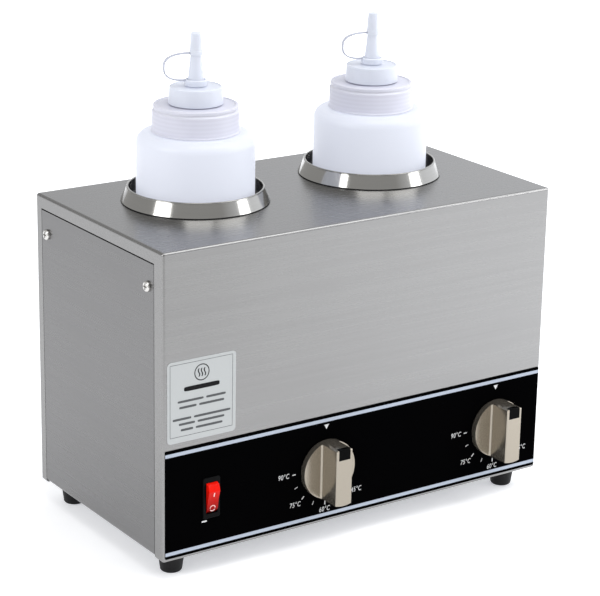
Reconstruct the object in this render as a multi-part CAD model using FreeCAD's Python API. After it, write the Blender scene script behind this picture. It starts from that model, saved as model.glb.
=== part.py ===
import FreeCAD, Part
import math
import os

# Two-well electric warmer for squeeze bottles of cheese sauce.
# A folded stainless casing stands on four rubber feet. Its top carries two deep pots, each
# with a conical collar, a band heater and its own thermostat. A one-litre squeeze bottle
# stands in each pot. Millimetres, +Z up, floor at Z = 0, X to the right, front towards -Y.

# Casing
casing_width = 340.0
casing_depth = 182.5
casing_height = 228.0
sheet = 1.0
bend_radius = 2.0
flange_top = 9.9
flange_front = 11.3
flange_back = 8.5
bottom_return = 30.0
return_notch = 3.0
panel_gap_top = 1.0
panel_gap_side = 0.5
tray_fit_gap = 0.6
vent_count = 9
vent_length = 34.0
vent_width = 4.0
vent_pitch = 11.0
vent_end_share = 0.98

# Feet
foot_height = 16.0
foot_top_radius = 10.0
foot_floor_radius = 7.8
foot_round = 2.0
foot_from_side = 18.0
foot_from_face = 19.0
foot_recess_radius = 4.3
foot_recess_depth = 8.0
foot_top_round = 0.8

# Screws: shank radius, head radius, head height
m4_shank = 2.0
m4_head = 3.9
m4_head_height = 2.4
m3_shank = 1.5
m3_head = 2.8
m3_head_height = 1.8
m25_shank = 1.25
m25_head = 2.3
m25_head_height = 1.5
screw_hole_gap = 0.15
m4_nut_height = 3.0
m4_nut_across_flats = 7.0
m3_nut_height = 2.4
m3_nut_across_flats = 5.5
thread_past_nut = 1.0
cut_margin = 1.0

# Side screws and the tabs that they hold to
side_screw_drop = 28.0
side_screw_from_front = 19.5
side_screw_from_back = 17.4
tab_thickness = 1.5
tab_height = 30.0
tab_from_face = 3.0
tab_past_screw = 9.0
tab_boss_radius = 4.0
tab_boss_length = 3.0

# Wells: two pots, their collars, heaters and sleeves
well_spacing = 156.8
well_behind_centre = 15.5
pot_gap = 4.5
pot_wall = 0.9
pot_depth = 132.3
pot_floor_round = 5.0
pot_flange_width = 6.0
pot_flange_thickness = 1.0
pot_hole_gap = 0.3
ring_past_flange = 1.0
ring_bore_gap = 1.1
ring_height = 11.0
ring_lip_width = 1.5
ring_lip_height = 0.9
ring_shadow_gap = 0.5
ring_pocket_gap = 0.2
well_screw_from_pot = 3.3
well_screw_count = 4
well_screw_engagement = 4.0
heater_height = 50.0
heater_thickness = 3.0
heater_above_floor = 18.0
heater_split = 10.0
heater_ear_length = 12.0
heater_ear_thickness = 2.0
heater_terminal_x = 24.0
heater_terminal_rise = 9.0
heater_terminal_radius = 2.4
heater_terminal_length = 9.0
wrap_gap = 0.15
sleeve_thickness = 7.0
sleeve_margin = 9.0
sleeve_slot = 34.0
sleeve_round = 2.0

# Control overlay and information plate
overlay_thickness = 0.6
overlay_left = 1.5
overlay_right = 1.7
overlay_bottom = 2.7
overlay_top = 84.3
overlay_corner = 1.0
plate_width = 56.0
plate_height = 60.0
plate_left = 3.4
plate_above_overlay = 4.7
plate_corner = 3.0
plate_thickness = 0.3

# Thermostats and their knobs
knob_x = {"left": -32.0, "right": 126.0}
knob_above_edge = 43.7
knob_radius = 22.3
knob_reach = 24.3
knob_skirt_reach = 6.0
knob_clearance = 0.8
knob_rim_width = 3.1
knob_hollow_depth = 3.0
knob_round = 0.8
knob_root_round = 1.6
grip_width = 14.0
pointer_width = 10.0
pointer_length = 8.5
pointer_depth = 3.6
shaft_radius = 3.0
shaft_flat = 2.4
shaft_fit = 0.05
shaft_in_knob = 12.0
shaft_in_body = 7.0
bushing_radius = 4.8
bushing_reach = 0.4
bushing_hole_gap = 0.2
screw_in_hollow_gap = 1.3
thermostat_width = 38.0
thermostat_height = 34.0
thermostat_depth = 24.0
bracket_past_screw = 9.0
bracket_thickness = 1.2
bracket_height = 24.0
thermostat_round = 3.0
thermostat_screw_length = 7.0
thermostat_screw_head_height = 2.0
diaphragm_radius = 12.0
diaphragm_depth = 5.0
blade_width = 6.3
blade_thickness = 0.8
blade_length = 8.0
blade_inset = 6.0
blade_rise = 3.0
bulb_radius = 3.0
bulb_length = 56.0
bulb_gap = 0.2
clip_width = 10.0
clip_thickness = 1.0
clip_foot = 8.0
capillary_behind_body = 18.0
capillary_inset = 5.0
capillary_radius = 0.9
capillary_bend = 8.0

# Rocker switch
switch_x = -131.0
switch_above_edge = 42.5
bezel_lap_side = 1.0
bezel_lap_end = 2.0
bezel_thickness = 1.5
housing_side_wall = 0.3
housing_end_wall = 0.9
housing_depth = 19.0
housing_hole_gap = 0.2
switch_blade_width = 4.8
switch_blade_pitch = 8.0
rocker_width = 9.0
rocker_gap = 0.3
rocker_swing_gap = 0.4
rocker_swing_radius = 12.2
rocker_pivot_depth = 4.0
rocker_back = 6.0
rocker_ridge_offset = 7.5
rocker_ridge_rise = 2.6
rocker_middle_rise = 1.9
rocker_end_rise = -0.8
rocker_throw = 24.0
trunnion_radius = 1.2
trunnion_reach = 0.9
trunnion_fit = 0.05

# Mains inlet on the back
inlet_x = 110.0
inlet_above_edge = 34.0
inlet_flange_width = 50.0
inlet_flange_height = 24.0
inlet_flange_thickness = 2.2
inlet_body_width = 27.6
inlet_body_height = 20.0
inlet_body_depth = 16.5
inlet_side_wall = 1.6
inlet_end_wall = 1.8
inlet_socket_depth = 15.0
inlet_chamfer = 4.0
inlet_socket_chamfer = 3.2
inlet_round = 0.5
inlet_flange_corner = 5.0
inlet_flange_round = 0.8
inlet_screw_length = 9.0
inlet_screw_slot_width = 0.8
inlet_screw_slot_depth = 0.7
inlet_hole_gap = 0.2
inlet_screw_spacing = 40.0
inlet_pin_width = 2.0
inlet_pin_height = 4.0
inlet_pin_setback = 2.5
inlet_pin_spacing = 7.0
inlet_pin_offset = 2.0
inlet_tail_length = 8.0

# Terminal block and earth stud on the base tray
block_x = 38.0
block_from_back = 39.25
block_width = 36.0
block_depth = 18.0
block_height = 15.0
block_ways = 3
block_well_radius = 2.6
block_well_depth = 6.0
block_entry_rise = 5.0
block_corner = 2.0
block_sink = 4.0
clamp_shank = 1.4
clamp_head = 2.2
clamp_head_height = 1.4
clamp_length = 2.5
clamp_floor_gap = 0.1
stud_x = 68.0
stud_from_back = 31.25
stud_height = 14.0
washer_radius = 4.6
washer_thickness = 0.8
washer_rise = 5.0
lug_length = 11.5
lug_width = 5.0
lug_wire_x = 9.0

# Wires
wire_radius = 1.3
wire_bend = 7.5
wire_run_out = 18.0
heater_lane_run = 15.0
heater_climb_share = 0.7
heater_step_share = 0.16
neutral_step_share = 0.28
inlet_lane_from_tail = 31.75
switch_lane_from_front = 50.25
low_lane_rise = 12.0
middle_lane_from_front = 58.25
middle_lane_rise = 27.0
middle_lane_shift = 20.0
block_lane_reach = 24.0
left_feed_reach = 40.0
right_feed_reach = 52.0
neutral_lane_from_tail = 16.75
neutral_back_from_back = 14.25
neutral_turn_from_stud = 14.0
left_neutral_reach = 22.0
left_neutral_front_reach = 62.0
neutral_lane_share = 0.47
right_neutral_reach = 30.0
right_neutral_below = 8.0
earth_lane_from_tail = 14.75
earth_turn_from_tail = 26.75
live_entry_shift = 3.0
neutral_entry_shift = 2.5

# Squeeze bottle
seat_gap = 0.3
bottle_radius = 43.5
bottle_straight = 175.5
bottle_wall = 1.2
bottle_floor = 1.6
bottle_base_round = 6.0
shoulder_round = 8.0
neck_radius = 29.3
neck_foot_round = 0.6
neck_height = 16.4
neck_wall = 1.8
thread_pitch = 3.0
thread_rise = 0.9
thread_turns = 3.0
thread_foot = 1.6
thread_crest = 0.7
thread_start = 3.2
thread_root_sink = 0.3

# Screw lid of the bottle
lid_gap = 0.5
lid_wall = 1.5
lid_flare = 1.0
lid_flare_height = 1.5
lid_skirt_drop = 4.6
lid_groove_drop = 3.4
lid_rim_height = 2.0
lid_rim_width = 2.2
lid_rim_slope = 0.6
lid_draft = 0.3
lid_groove_depth = 1.3
lid_rim_inset = 1.0
lid_height = 20.0
lid_top_thickness = 2.3
lid_recess = 0.5
thread_clearance = 0.3
seal_gap = 0.3
seal_width = 3.0
lid_seal_thickness = 1.2
lid_neck_radius = 17.2
lid_neck_height = 9.8
lid_neck_wall = 1.5
small_thread_turns = 1.5
small_thread_start = 2.6

# Nozzle cap that screws on the lid
cap_gap = 0.3
cap_wall = 1.6
cap_draft = 0.7
cap_rim_width = 1.6
cap_rim_slope = 0.4
cap_height = 12.7
cap_top_thickness = 1.6
cap_recess = 0.4
cap_seal_thickness = 1.0
nozzle_root_radius = 6.3
nozzle_shoulder_radius = 5.8
nozzle_shoulder_height = 5.0
nozzle_taper = 0.103
nozzle_height = 36.0
nozzle_wall = 1.0

# Tip cap and its tether
tether_ring_wall = 1.7
tether_ring_gap = 0.3
tether_ring_low = 0.4
tether_ring_height = 4.6
tip_cap_low = 22.6
tip_cap_height = 16.4
tip_cap_wall = 0.9
tip_cap_rim_height = 3.2
tip_cap_step = 0.5
tip_cap_rim_draft = 0.3
tip_cap_rim_slope = 0.1
tip_cap_draft = 0.75
tip_cap_fit = 0.1
tip_cap_roof = 2.2
strap_width = 2.6
strap_thickness = 0.7
strap_reach = 24.3
strap_bend = 9.6
strap_heading = 165.0
strap_cap_height = 24.4
strap_ring_height = 4.3

# Places worked out from the sizes above
casing_y = (knob_reach - inlet_flange_thickness) / 2
half_width = casing_width / 2
pot_radius = bottle_radius + pot_gap
pot_outer_radius = pot_radius + pot_wall
pot_flange_radius = pot_radius + pot_flange_width
ring_base_radius = pot_flange_radius + ring_past_flange
ring_bore_radius = pot_radius + ring_bore_gap
well_screw_circle = pot_radius + well_screw_from_pot
heater_radius = pot_outer_radius + wrap_gap
heater_outer_radius = heater_radius + heater_thickness
plate_bottom = overlay_top + plate_above_overlay
knob_hollow_radius = knob_radius - knob_rim_width
thermostat_screw_spacing = 2 * (knob_hollow_radius - m4_head - screw_in_hollow_gap)
bracket_width = thermostat_screw_spacing + 2 * bracket_past_screw
rocker_bay = rocker_width + 2 * (trunnion_reach + rocker_gap)
housing_width = rocker_bay + 2 * housing_side_wall
housing_height = 2 * (rocker_swing_radius + rocker_swing_gap + housing_end_wall)
bezel_width = housing_width + 2 * bezel_lap_side
bezel_height = housing_height + 2 * bezel_lap_end
inlet_socket_width = inlet_body_width - 2 * inlet_side_wall
inlet_socket_height = inlet_body_height - 2 * inlet_end_wall
front_y = casing_y - casing_depth / 2
back_y = casing_y + casing_depth / 2
edge_z = foot_height
panel_z = edge_z + casing_height
tray_z = edge_z + sheet
tray_top_z = tray_z + sheet
well_y = casing_y + well_behind_centre
well_x = {"left": -well_spacing / 2, "right": well_spacing / 2}
pot_floor_z = panel_z - pot_depth
pot_bottom_z = pot_floor_z - pot_wall
panel_hole_radius = pot_outer_radius + pot_hole_gap
knob_z = edge_z + knob_above_edge
switch_z = edge_z + switch_above_edge
inlet_z = edge_z + inlet_above_edge
inside_front_y = front_y + sheet
bottle_z = pot_floor_z + seat_gap
shoulder_z = bottle_z + bottle_straight + shoulder_round
lid_z = shoulder_z + lid_gap
lid_top_z = lid_z + lid_height
neck_top_z = shoulder_z + neck_height
cap_z = lid_top_z + cap_gap
cap_top_z = cap_z + cap_height
thread_radius = neck_radius + thread_rise
small_thread_radius = lid_neck_radius + thread_rise
shoulder_bend = min(shoulder_round, bottle_radius - neck_radius - neck_foot_round)
lid_radius = thread_radius + thread_clearance + lid_wall
lid_rim_radius = lid_radius - lid_rim_inset
cap_radius = small_thread_radius + thread_clearance + cap_wall
cap_top_radius = cap_radius - cap_draft
tether_ring_bore = nozzle_root_radius + tether_ring_gap
tether_ring_radius = tether_ring_bore + tether_ring_wall
tip_cap_bore = nozzle_shoulder_radius - nozzle_taper * (tip_cap_low - nozzle_shoulder_height) + tip_cap_fit
tip_cap_rim_radius = tip_cap_bore + tip_cap_wall
tip_cap_radius = tip_cap_rim_radius - tip_cap_step
tip_cap_top_radius = tip_cap_radius - tip_cap_draft
block_y = back_y - block_from_back
stud_y = back_y - stud_from_back
block_front_y = block_y - block_depth / 2
block_top_z = tray_top_z + block_height
bulb_z = pot_bottom_z - bulb_gap - bulb_radius
neutral_lane_z = block_top_z + neutral_lane_share * (bulb_z - block_top_z)
heater_root_reach = math.sqrt((heater_radius + heater_thickness / 2)**2 - heater_terminal_x**2)
heater_tip_y = well_y - heater_root_reach - heater_terminal_length
heater_lane_y = heater_tip_y - heater_lane_run

SIDES = ("left", "right")
UP = FreeCAD.Vector(0, 0, 1)
RIGHT = FreeCAD.Vector(1, 0, 0)
LEFT = FreeCAD.Vector(-1, 0, 0)
FORWARD = FreeCAD.Vector(0, -1, 0)
BACKWARD = FreeCAD.Vector(0, 1, 0)
DOWN = FreeCAD.Vector(0, 0, -1)


# ---- shape helpers ----

def vec(x, y, z):
    return FreeCAD.Vector(x, y, z)


def box(x0, x1, y0, y1, z0, z1):
    return Part.makeBox(x1 - x0, y1 - y0, z1 - z0, vec(x0, y0, z0))


def rod(radius, length, base, direction=UP):
    return Part.makeCylinder(radius, length, base, direction)


def rounded_edges(corners, closed=True):
    """Edges through the (point, radius) corners, each corner rounded by its own radius."""
    count = len(corners)
    edges = []
    start = None
    first = None
    for i, (point, radius) in enumerate(corners):
        at_end = not closed and i in (0, count - 1)
        if at_end or radius <= 0:
            enter = point
            leave = point
            arc = None
        else:
            before = (corners[i - 1][0] - point).normalize()
            after = (corners[(i + 1) % count][0] - point).normalize()
            half = before.getAngle(after) / 2
            reach = radius / math.tan(half)
            inward = (before + after).normalize()
            enter = point + before * reach
            leave = point + after * reach
            middle = point + inward * (radius / math.sin(half) - radius)
            arc = Part.Arc(enter, middle, leave).toShape()
        if start is not None and start.distanceToPoint(enter) > 1e-6:
            edges.append(Part.LineSegment(start, enter).toShape())
        if start is None:
            first = enter
        if arc:
            edges.append(arc)
        start = leave
    if closed and start.distanceToPoint(first) > 1e-6:
        edges.append(Part.LineSegment(start, first).toShape())
    return edges


def turned(profile, x, y, z=0.0):
    """A solid of revolution about the upright line through x, y from (radius, height, round) corners."""
    corners = [(vec(r, 0, h), fillet) for r, h, fillet in profile]
    face = Part.Face(Part.Wire(rounded_edges(corners)))
    solid = face.revolve(vec(0, 0, 0), UP, 360)
    solid.translate(vec(x, y, z))
    return solid


def upright_slab(width, height, corner, x, y, z, thickness):
    """A plate with rounded corners that stands in the XZ plane, thickness measured towards -Y."""
    x0 = x - width / 2
    z0 = z - height / 2
    ends = [(x0, z0), (x0 + width, z0), (x0 + width, z0 + height), (x0, z0 + height)]
    wire = Part.Wire(rounded_edges([(vec(a, y, b), corner) for a, b in ends]))
    return Part.Face(wire).extrude(FORWARD * thickness)


def swept(points, bend, section):
    """A section wire carried along straight runs joined by arcs."""
    path = Part.Wire(rounded_edges([(p, bend) for p in points], closed=False))
    return path.makePipeShell([section], True, False)


def tube(points, radius, bend):
    section = Part.Wire(Part.Circle(points[0], points[1] - points[0], radius).toShape())
    return swept(points, bend, section)


def aimed(shape, base, direction):
    """A shape drawn about the origin along +Z, turned to a direction and set on a base point."""
    turn = FreeCAD.Rotation(UP, direction)
    shape.Placement = FreeCAD.Placement(base, turn).multiply(shape.Placement)
    return shape


def pan_screw(shank, head, head_height, length):
    """A cross-recess pan-head screw along +Z, its seat at Z = 0 and its shank below."""
    body = turned(
        [
            (0, -length, 0),
            (shank, -length, 0.3),
            (shank, 0, 0),
            (head, 0, 0.2),
            (head, head_height, head_height * 0.6),
            (0, head_height, 0),
        ],
        0,
        0,
    )
    arm = head * 0.6
    slot = head * 0.14
    recess_floor = head_height * 0.45
    cross = box(-arm, arm, -slot, slot, recess_floor, head_height + 1)
    cross = cross.fuse(box(-slot, slot, -arm, arm, recess_floor, head_height + 1))
    return body.cut(cross)


def hex_nut(across_flats, height, hole):
    radius = across_flats / math.sqrt(3)
    corners = [
        (vec(radius * math.cos(a), radius * math.sin(a), 0), 0)
        for a in (math.radians(60 * i) for i in range(6))
    ]
    nut = Part.Face(Part.Wire(rounded_edges(corners))).extrude(UP * height)
    return nut.cut(rod(hole, height + 2, vec(0, 0, -1)))


def rounded_box(x0, x1, y0, y1, z0, z1, radius):
    block = box(x0, x1, y0, y1, z0, z1)
    return block.makeFillet(radius, block.Edges)


def ridge_thread(root, rise, pitch, turns):
    """One trapezoidal ridge on a helix that starts at Z = 0 on the +X side."""
    helix = Part.makeHelix(pitch, pitch * turns, root)
    inner = root - thread_root_sink
    outer = root + rise
    foot = thread_foot / 2
    crest = thread_crest / 2
    ends = [(inner, -foot), (outer, -crest), (outer, crest), (inner, foot)]
    section = Part.Wire(rounded_edges([(vec(r, 0, h), 0) for r, h in ends]))
    return Part.Wire(helix).makePipeShell([section], True, True)


# ---- casing ----

def side_screw_places():
    z = panel_z - side_screw_drop
    ys = (front_y + side_screw_from_front, back_y - side_screw_from_back)
    return [(sign, y, z) for sign in (-1, 1) for y in ys]


def foot_places():
    x = half_width - foot_from_side
    ys = {"front": front_y + foot_from_face, "back": back_y - foot_from_face}
    return {
        f"{end}_{side}": (sign * x, y)
        for end, y in ys.items()
        for side, sign in (("left", -1), ("right", 1))
    }


def well_screw_places(side):
    angles = [math.radians(45 + 360 * i / well_screw_count) for i in range(well_screw_count)]
    return [
        (
            well_x[side] + well_screw_circle * math.cos(a),
            well_y + well_screw_circle * math.sin(a),
        )
        for a in angles
    ]


def thermostat_screw_places(side):
    half = thermostat_screw_spacing / 2
    return [(knob_x[side] - half, knob_z), (knob_x[side] + half, knob_z)]


def outer_wrapper():
    """Front, top and back folded from one sheet, with narrow side flanges and bottom returns."""
    outer = rounded_box(-half_width, half_width, front_y, back_y, edge_z, panel_z, bend_radius)
    inner = rounded_box(
        -half_width + sheet,
        half_width - sheet,
        front_y + sheet,
        back_y - sheet,
        edge_z + sheet,
        panel_z - sheet,
        bend_radius - sheet,
    )
    shell = outer.cut(inner)
    cuts = []
    for sign in (-1, 1):
        xs = sorted((sign * (half_width + 1), sign * (half_width - return_notch)))
        cuts.append(
            box(
                xs[0],
                xs[1],
                front_y + flange_front,
                back_y - flange_back,
                edge_z - 1,
                panel_z - flange_top,
            )
        )
    cuts.append(
        box(
            -half_width - 1,
            half_width + 1,
            front_y + bottom_return,
            back_y - bottom_return,
            edge_z - 1,
            edge_z + 2 * sheet,
        )
    )
    for side in SIDES:
        low = panel_z - 3 * sheet
        cuts.append(rod(panel_hole_radius, 4 * sheet, vec(well_x[side], well_y, low)))
        for x, y in well_screw_places(side):
            cuts.append(rod(m25_shank + screw_hole_gap, 4 * sheet, vec(x, y, low)))
        hole = bushing_radius + bushing_hole_gap
        cuts.append(rod(hole, 4 * sheet, vec(knob_x[side], front_y - sheet, knob_z), BACKWARD))
        for x, z in thermostat_screw_places(side):
            cuts.append(rod(m4_shank + screw_hole_gap, 4 * sheet, vec(x, front_y - sheet, z), BACKWARD))
    cuts.append(switch_cutout(sheet))
    cuts.append(
        upright_slab(
            inlet_body_width + 2 * inlet_hole_gap,
            inlet_body_height + 2 * inlet_hole_gap,
            1.0,
            inlet_x,
            back_y + sheet,
            inlet_z,
            4 * sheet,
        )
    )
    for sign in (-1, 1):
        x = inlet_x + sign * inlet_screw_spacing / 2
        cuts.append(rod(m3_shank + screw_hole_gap, 4 * sheet, vec(x, back_y + sheet, inlet_z), FORWARD))
    for x, y in foot_places().values():
        cuts.append(rod(m4_shank + screw_hole_gap, 3 * sheet, vec(x, y, edge_z - sheet)))
    return shell.cut(cuts)


def switch_cutout(depth):
    """The hole for the switch housing, through whatever stands within depth of the front."""
    return upright_slab(
        housing_width + 2 * housing_hole_gap,
        housing_height + 2 * housing_hole_gap,
        0.5,
        switch_x,
        front_y + depth + sheet,
        switch_z,
        depth + 3 * sheet,
    )


def base_tray():
    """Bottom and both side panels folded from one sheet, set flush between the flanges."""
    y0 = front_y + flange_front + panel_gap_side
    y1 = back_y - flange_back - panel_gap_side
    top = panel_z - flange_top - panel_gap_top
    outer_bend = bend_radius + sheet
    trough = box(-half_width, half_width, y0, y1, tray_z, top)
    corners = [e for e in trough.Edges if is_low_long_edge(e, tray_z, y1 - y0)]
    trough = trough.makeFillet(outer_bend, corners)
    hollow = box(-half_width + sheet, half_width - sheet, y0 - 1, y1 + 1, tray_top_z, top + 1)
    corners = [e for e in hollow.Edges if is_low_long_edge(e, tray_top_z, y1 - y0 + 2)]
    hollow = hollow.makeFillet(bend_radius, corners)
    inset = bend_radius + tray_fit_gap
    floor = box(
        -half_width + outer_bend,
        half_width - outer_bend,
        front_y + inset,
        back_y - inset,
        tray_z,
        tray_top_z,
    )
    tray = trough.cut(hollow).fuse(floor).removeSplitter()
    cuts = []
    for sign, y, z in side_screw_places():
        base = vec(sign * (half_width + sheet), y, z)
        cuts.append(rod(m4_shank + screw_hole_gap, 4 * sheet, base, RIGHT * -sign))
    for x, y in foot_places().values():
        cuts.append(rod(m4_shank + screw_hole_gap, 3 * sheet, vec(x, y, tray_z - sheet)))
    for side in SIDES:
        for i in range(vent_count):
            x = well_x[side] + (i - (vent_count - 1) / 2) * vent_pitch
            cuts.append(vent_slot(x, casing_y))
    cuts.append(rod(m3_shank + screw_hole_gap, 3 * sheet, block_screw_base(tray_z - sheet)))
    return tray.cut(cuts)


def is_low_long_edge(edge, z, length):
    low = edge.BoundBox
    return abs(low.ZMax - z) < 1e-6 and abs(low.YLength - length) < 1e-6


def vent_slot(x, y):
    half = vent_width / 2
    run = vent_length / 2
    ends = [(x - half, y - run), (x + half, y - run), (x + half, y + run), (x - half, y + run)]
    corners = [(vec(a, b, tray_z - 1), half * vent_end_share) for a, b in ends]
    return Part.Face(Part.Wire(rounded_edges(corners))).extrude(UP * (sheet + 2))


def retaining_tabs():
    """Four strips welded behind the side flanges, each with a threaded boss for a side screw."""
    tabs = []
    reach_front = side_screw_from_front + tab_past_screw
    reach_back = side_screw_from_back + tab_past_screw
    for sign, y, z in side_screw_places():
        at_front = y < casing_y
        y0 = front_y + tab_from_face if at_front else back_y - reach_back
        y1 = front_y + reach_front if at_front else back_y - tab_from_face
        face = half_width - sheet
        xs = sorted((sign * face, sign * (face - tab_thickness)))
        tab = box(xs[0], xs[1], y0, y1, z - tab_height / 2, z + tab_height / 2)
        inner = vec(sign * (face - tab_thickness), y, z)
        tab = tab.fuse(rod(tab_boss_radius, tab_boss_length, inner, RIGHT * -sign))
        hole_length = tab_thickness + tab_boss_length + 2
        tabs.append(tab.cut(rod(m4_shank, hole_length, vec(sign * (face + 1), y, z), RIGHT * -sign)))
    return Part.Compound(tabs)


def side_screws():
    length = sheet + tab_thickness + tab_boss_length
    screws = []
    for sign, y, z in side_screw_places():
        screw = pan_screw(m4_shank, m4_head, m4_head_height, length)
        screws.append(aimed(screw, vec(sign * half_width, y, z), RIGHT * sign))
    return Part.Compound(screws)


# ---- feet ----

def foot(x, y):
    """A tapered rubber foot with a counterbore for its screw."""
    body = turned(
        [
            (m4_shank, 0, 0),
            (foot_floor_radius, 0, foot_round),
            (foot_top_radius, foot_height, foot_top_round),
            (m4_shank, foot_height, 0),
        ],
        x,
        y,
    )
    return body.cut(rod(foot_recess_radius, foot_recess_depth + 1, vec(x, y, -1)))


def foot_screws():
    """Each foot's screw, and its nut on the tray."""
    length = foot_height - foot_recess_depth + 2 * sheet + m4_nut_height + thread_past_nut
    pieces = []
    for x, y in foot_places().values():
        screw = pan_screw(m4_shank, m4_head, m4_head_height, length)
        pieces.append(aimed(screw, vec(x, y, foot_recess_depth), DOWN))
        nut = hex_nut(m4_nut_across_flats, m4_nut_height, m4_shank)
        pieces.append(aimed(nut, vec(x, y, tray_top_z), UP))
    return Part.Compound(pieces)


# ---- wells ----

def well_ring(side):
    """A conical collar that stands on the pot's flange and leaves a thin shadow gap below."""
    lip = ring_bore_radius + ring_lip_width
    ring = turned(
        [
            (ring_base_radius, ring_shadow_gap, 0.2),
            (lip, ring_height - ring_lip_height, 0.6),
            (lip, ring_height, 0.5),
            (ring_bore_radius, ring_height, 0.4),
            (ring_bore_radius, pot_flange_thickness, 0),
            (pot_flange_radius + ring_pocket_gap, pot_flange_thickness, 0),
            (pot_flange_radius + ring_pocket_gap, ring_shadow_gap, 0),
        ],
        well_x[side],
        well_y,
        panel_z,
    )
    holes = [
        rod(m25_shank, well_screw_engagement + 1, vec(x, y, panel_z + pot_flange_thickness - 1))
        for x, y in well_screw_places(side)
    ]
    return ring.cut(holes)


def well_pot(side):
    """A deep-drawn pot that hangs by its flange in the top panel's hole."""
    outer = pot_outer_radius
    pot = turned(
        [
            (0, -pot_depth - pot_wall, 0),
            (outer, -pot_depth - pot_wall, pot_floor_round + pot_wall),
            (outer, 0, 0),
            (pot_flange_radius, 0, 0),
            (pot_flange_radius, pot_flange_thickness, 0.3),
            (pot_radius, pot_flange_thickness, 0.6),
            (pot_radius, -pot_depth, pot_floor_round),
            (0, -pot_depth, 0),
        ],
        well_x[side],
        well_y,
        panel_z,
    )
    holes = [
        rod(m25_shank + screw_hole_gap, 2 * pot_flange_thickness + 2, vec(x, y, panel_z - 1))
        for x, y in well_screw_places(side)
    ]
    return pot.cut(holes)


def well_screws():
    """Screws from below that clamp the top panel and the pot's flange to the collar."""
    length = sheet + pot_flange_thickness + well_screw_engagement
    screws = []
    for side in SIDES:
        for x, y in well_screw_places(side):
            screw = pan_screw(m25_shank, m25_head, m25_head_height, length)
            screws.append(aimed(screw, vec(x, y, panel_z - sheet), DOWN))
    return Part.Compound(screws)


def heater_low_z():
    return pot_floor_z + heater_above_floor


def heater_terminal_tip(side, sign):
    """Where a wire meets the heater's terminal, to the left (-1) or right (1) of the ears."""
    return vec(well_x[side] + sign * heater_terminal_x, heater_tip_y, heater_low_z() + heater_terminal_rise)


def band_heater(side):
    """A mica band round the pot, split at the front, with two folded ears and two terminals."""
    inner = heater_radius
    outer = heater_outer_radius
    z0 = heater_low_z()
    band = turned(
        [(inner, 0, 0), (outer, 0, 0.4), (outer, heater_height, 0.4), (inner, heater_height, 0)],
        well_x[side],
        well_y,
        z0,
    )
    x = well_x[side]
    near = well_y - outer
    half = heater_split / 2
    band = band.cut(box(x - half, x + half, near - 2, well_y, z0 - 1, z0 + heater_height + 1))
    screw_z = z0 + heater_height / 2
    for sign in (-1, 1):
        xs = sorted((x + sign * half, x + sign * (half + heater_ear_thickness)))
        tip_y = near - heater_ear_length
        ear = box(xs[0], xs[1], tip_y, near + heater_thickness, z0, z0 + heater_height)
        band = band.fuse(ear)
        tip = heater_terminal_tip(side, sign)
        band = band.fuse(rod(heater_terminal_radius, heater_terminal_length, tip, BACKWARD))
    inner_clear = rod(inner, heater_height + 2, vec(x, well_y, z0 - 1))
    hole_length = heater_split + 2 * heater_ear_thickness + 2
    hole_base = vec(x - hole_length / 2, near - heater_ear_length / 2, screw_z)
    return band.cut([inner_clear, rod(m3_shank, hole_length, hole_base, RIGHT)])


def heater_clamp_screws():
    """One screw and nut through each heater's ears."""
    pieces = []
    half = heater_split / 2 + heater_ear_thickness
    near = well_y - heater_outer_radius
    for side in SIDES:
        place = vec(
            well_x[side] - half,
            near - heater_ear_length / 2,
            heater_low_z() + heater_height / 2,
        )
        length = 2 * half + m3_nut_height + thread_past_nut
        screw = pan_screw(m3_shank, m3_head, m3_head_height, length)
        pieces.append(aimed(screw, place, LEFT))
        nut = hex_nut(m3_nut_across_flats, m3_nut_height, m3_shank)
        pieces.append(aimed(nut, place + RIGHT * (2 * half), RIGHT))
    return Part.Compound(pieces)


def pot_sleeve(side):
    """A glass-fibre sleeve round the heater, open at the front for the ears and terminals."""
    inner = heater_outer_radius + wrap_gap
    outer = inner + sleeve_thickness
    height = heater_height + 2 * sleeve_margin
    sleeve = turned(
        [
            (inner, 0, 0),
            (outer, 0, sleeve_round),
            (outer, height, sleeve_round),
            (inner, height, 0),
        ],
        well_x[side],
        well_y,
        heater_low_z() - sleeve_margin,
    )
    x0 = well_x[side] - sleeve_slot
    x1 = well_x[side] + sleeve_slot
    z0 = heater_low_z() - sleeve_margin - cut_margin
    z1 = z0 + height + 2 * cut_margin
    return sleeve.cut(box(x0, x1, well_y - outer - cut_margin, well_y, z0, z1))


# ---- front face ----

def control_overlay():
    """A printed plastic overlay on the lower front, pierced for the switch and thermostats."""
    x0 = -half_width + overlay_left
    x1 = half_width - overlay_right
    z0 = edge_z + overlay_bottom
    z1 = edge_z + overlay_top
    sheet_piece = upright_slab(
        x1 - x0, z1 - z0, overlay_corner, (x0 + x1) / 2, front_y, (z0 + z1) / 2, overlay_thickness
    )
    cuts = [switch_cutout(sheet)]
    for side in SIDES:
        hole = bushing_radius + bushing_hole_gap
        start = front_y - overlay_thickness - cut_margin
        depth = overlay_thickness + 2 * cut_margin
        cuts.append(rod(hole, depth, vec(knob_x[side], start, knob_z), BACKWARD))
        for x, z in thermostat_screw_places(side):
            cuts.append(rod(m4_head + screw_hole_gap, depth, vec(x, start, z), BACKWARD))
    return sheet_piece.cut(cuts)


def info_plate():
    """A thin rounded plate for the operating information."""
    return upright_slab(
        plate_width,
        plate_height,
        plate_corner,
        -half_width + plate_left + plate_width / 2,
        front_y,
        edge_z + plate_bottom + plate_height / 2,
        plate_thickness,
    )


# ---- thermostats and knobs ----

def thermostat_blade_tip(side, sign):
    """The end of the left (-1) or right (1) blade at the back of a thermostat."""
    x = knob_x[side] + sign * (thermostat_width / 2 - blade_inset)
    y = inside_front_y + bracket_thickness + thermostat_depth + blade_length
    return vec(x, y, knob_z - thermostat_height / 2 + blade_rise + blade_width / 2)


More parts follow.
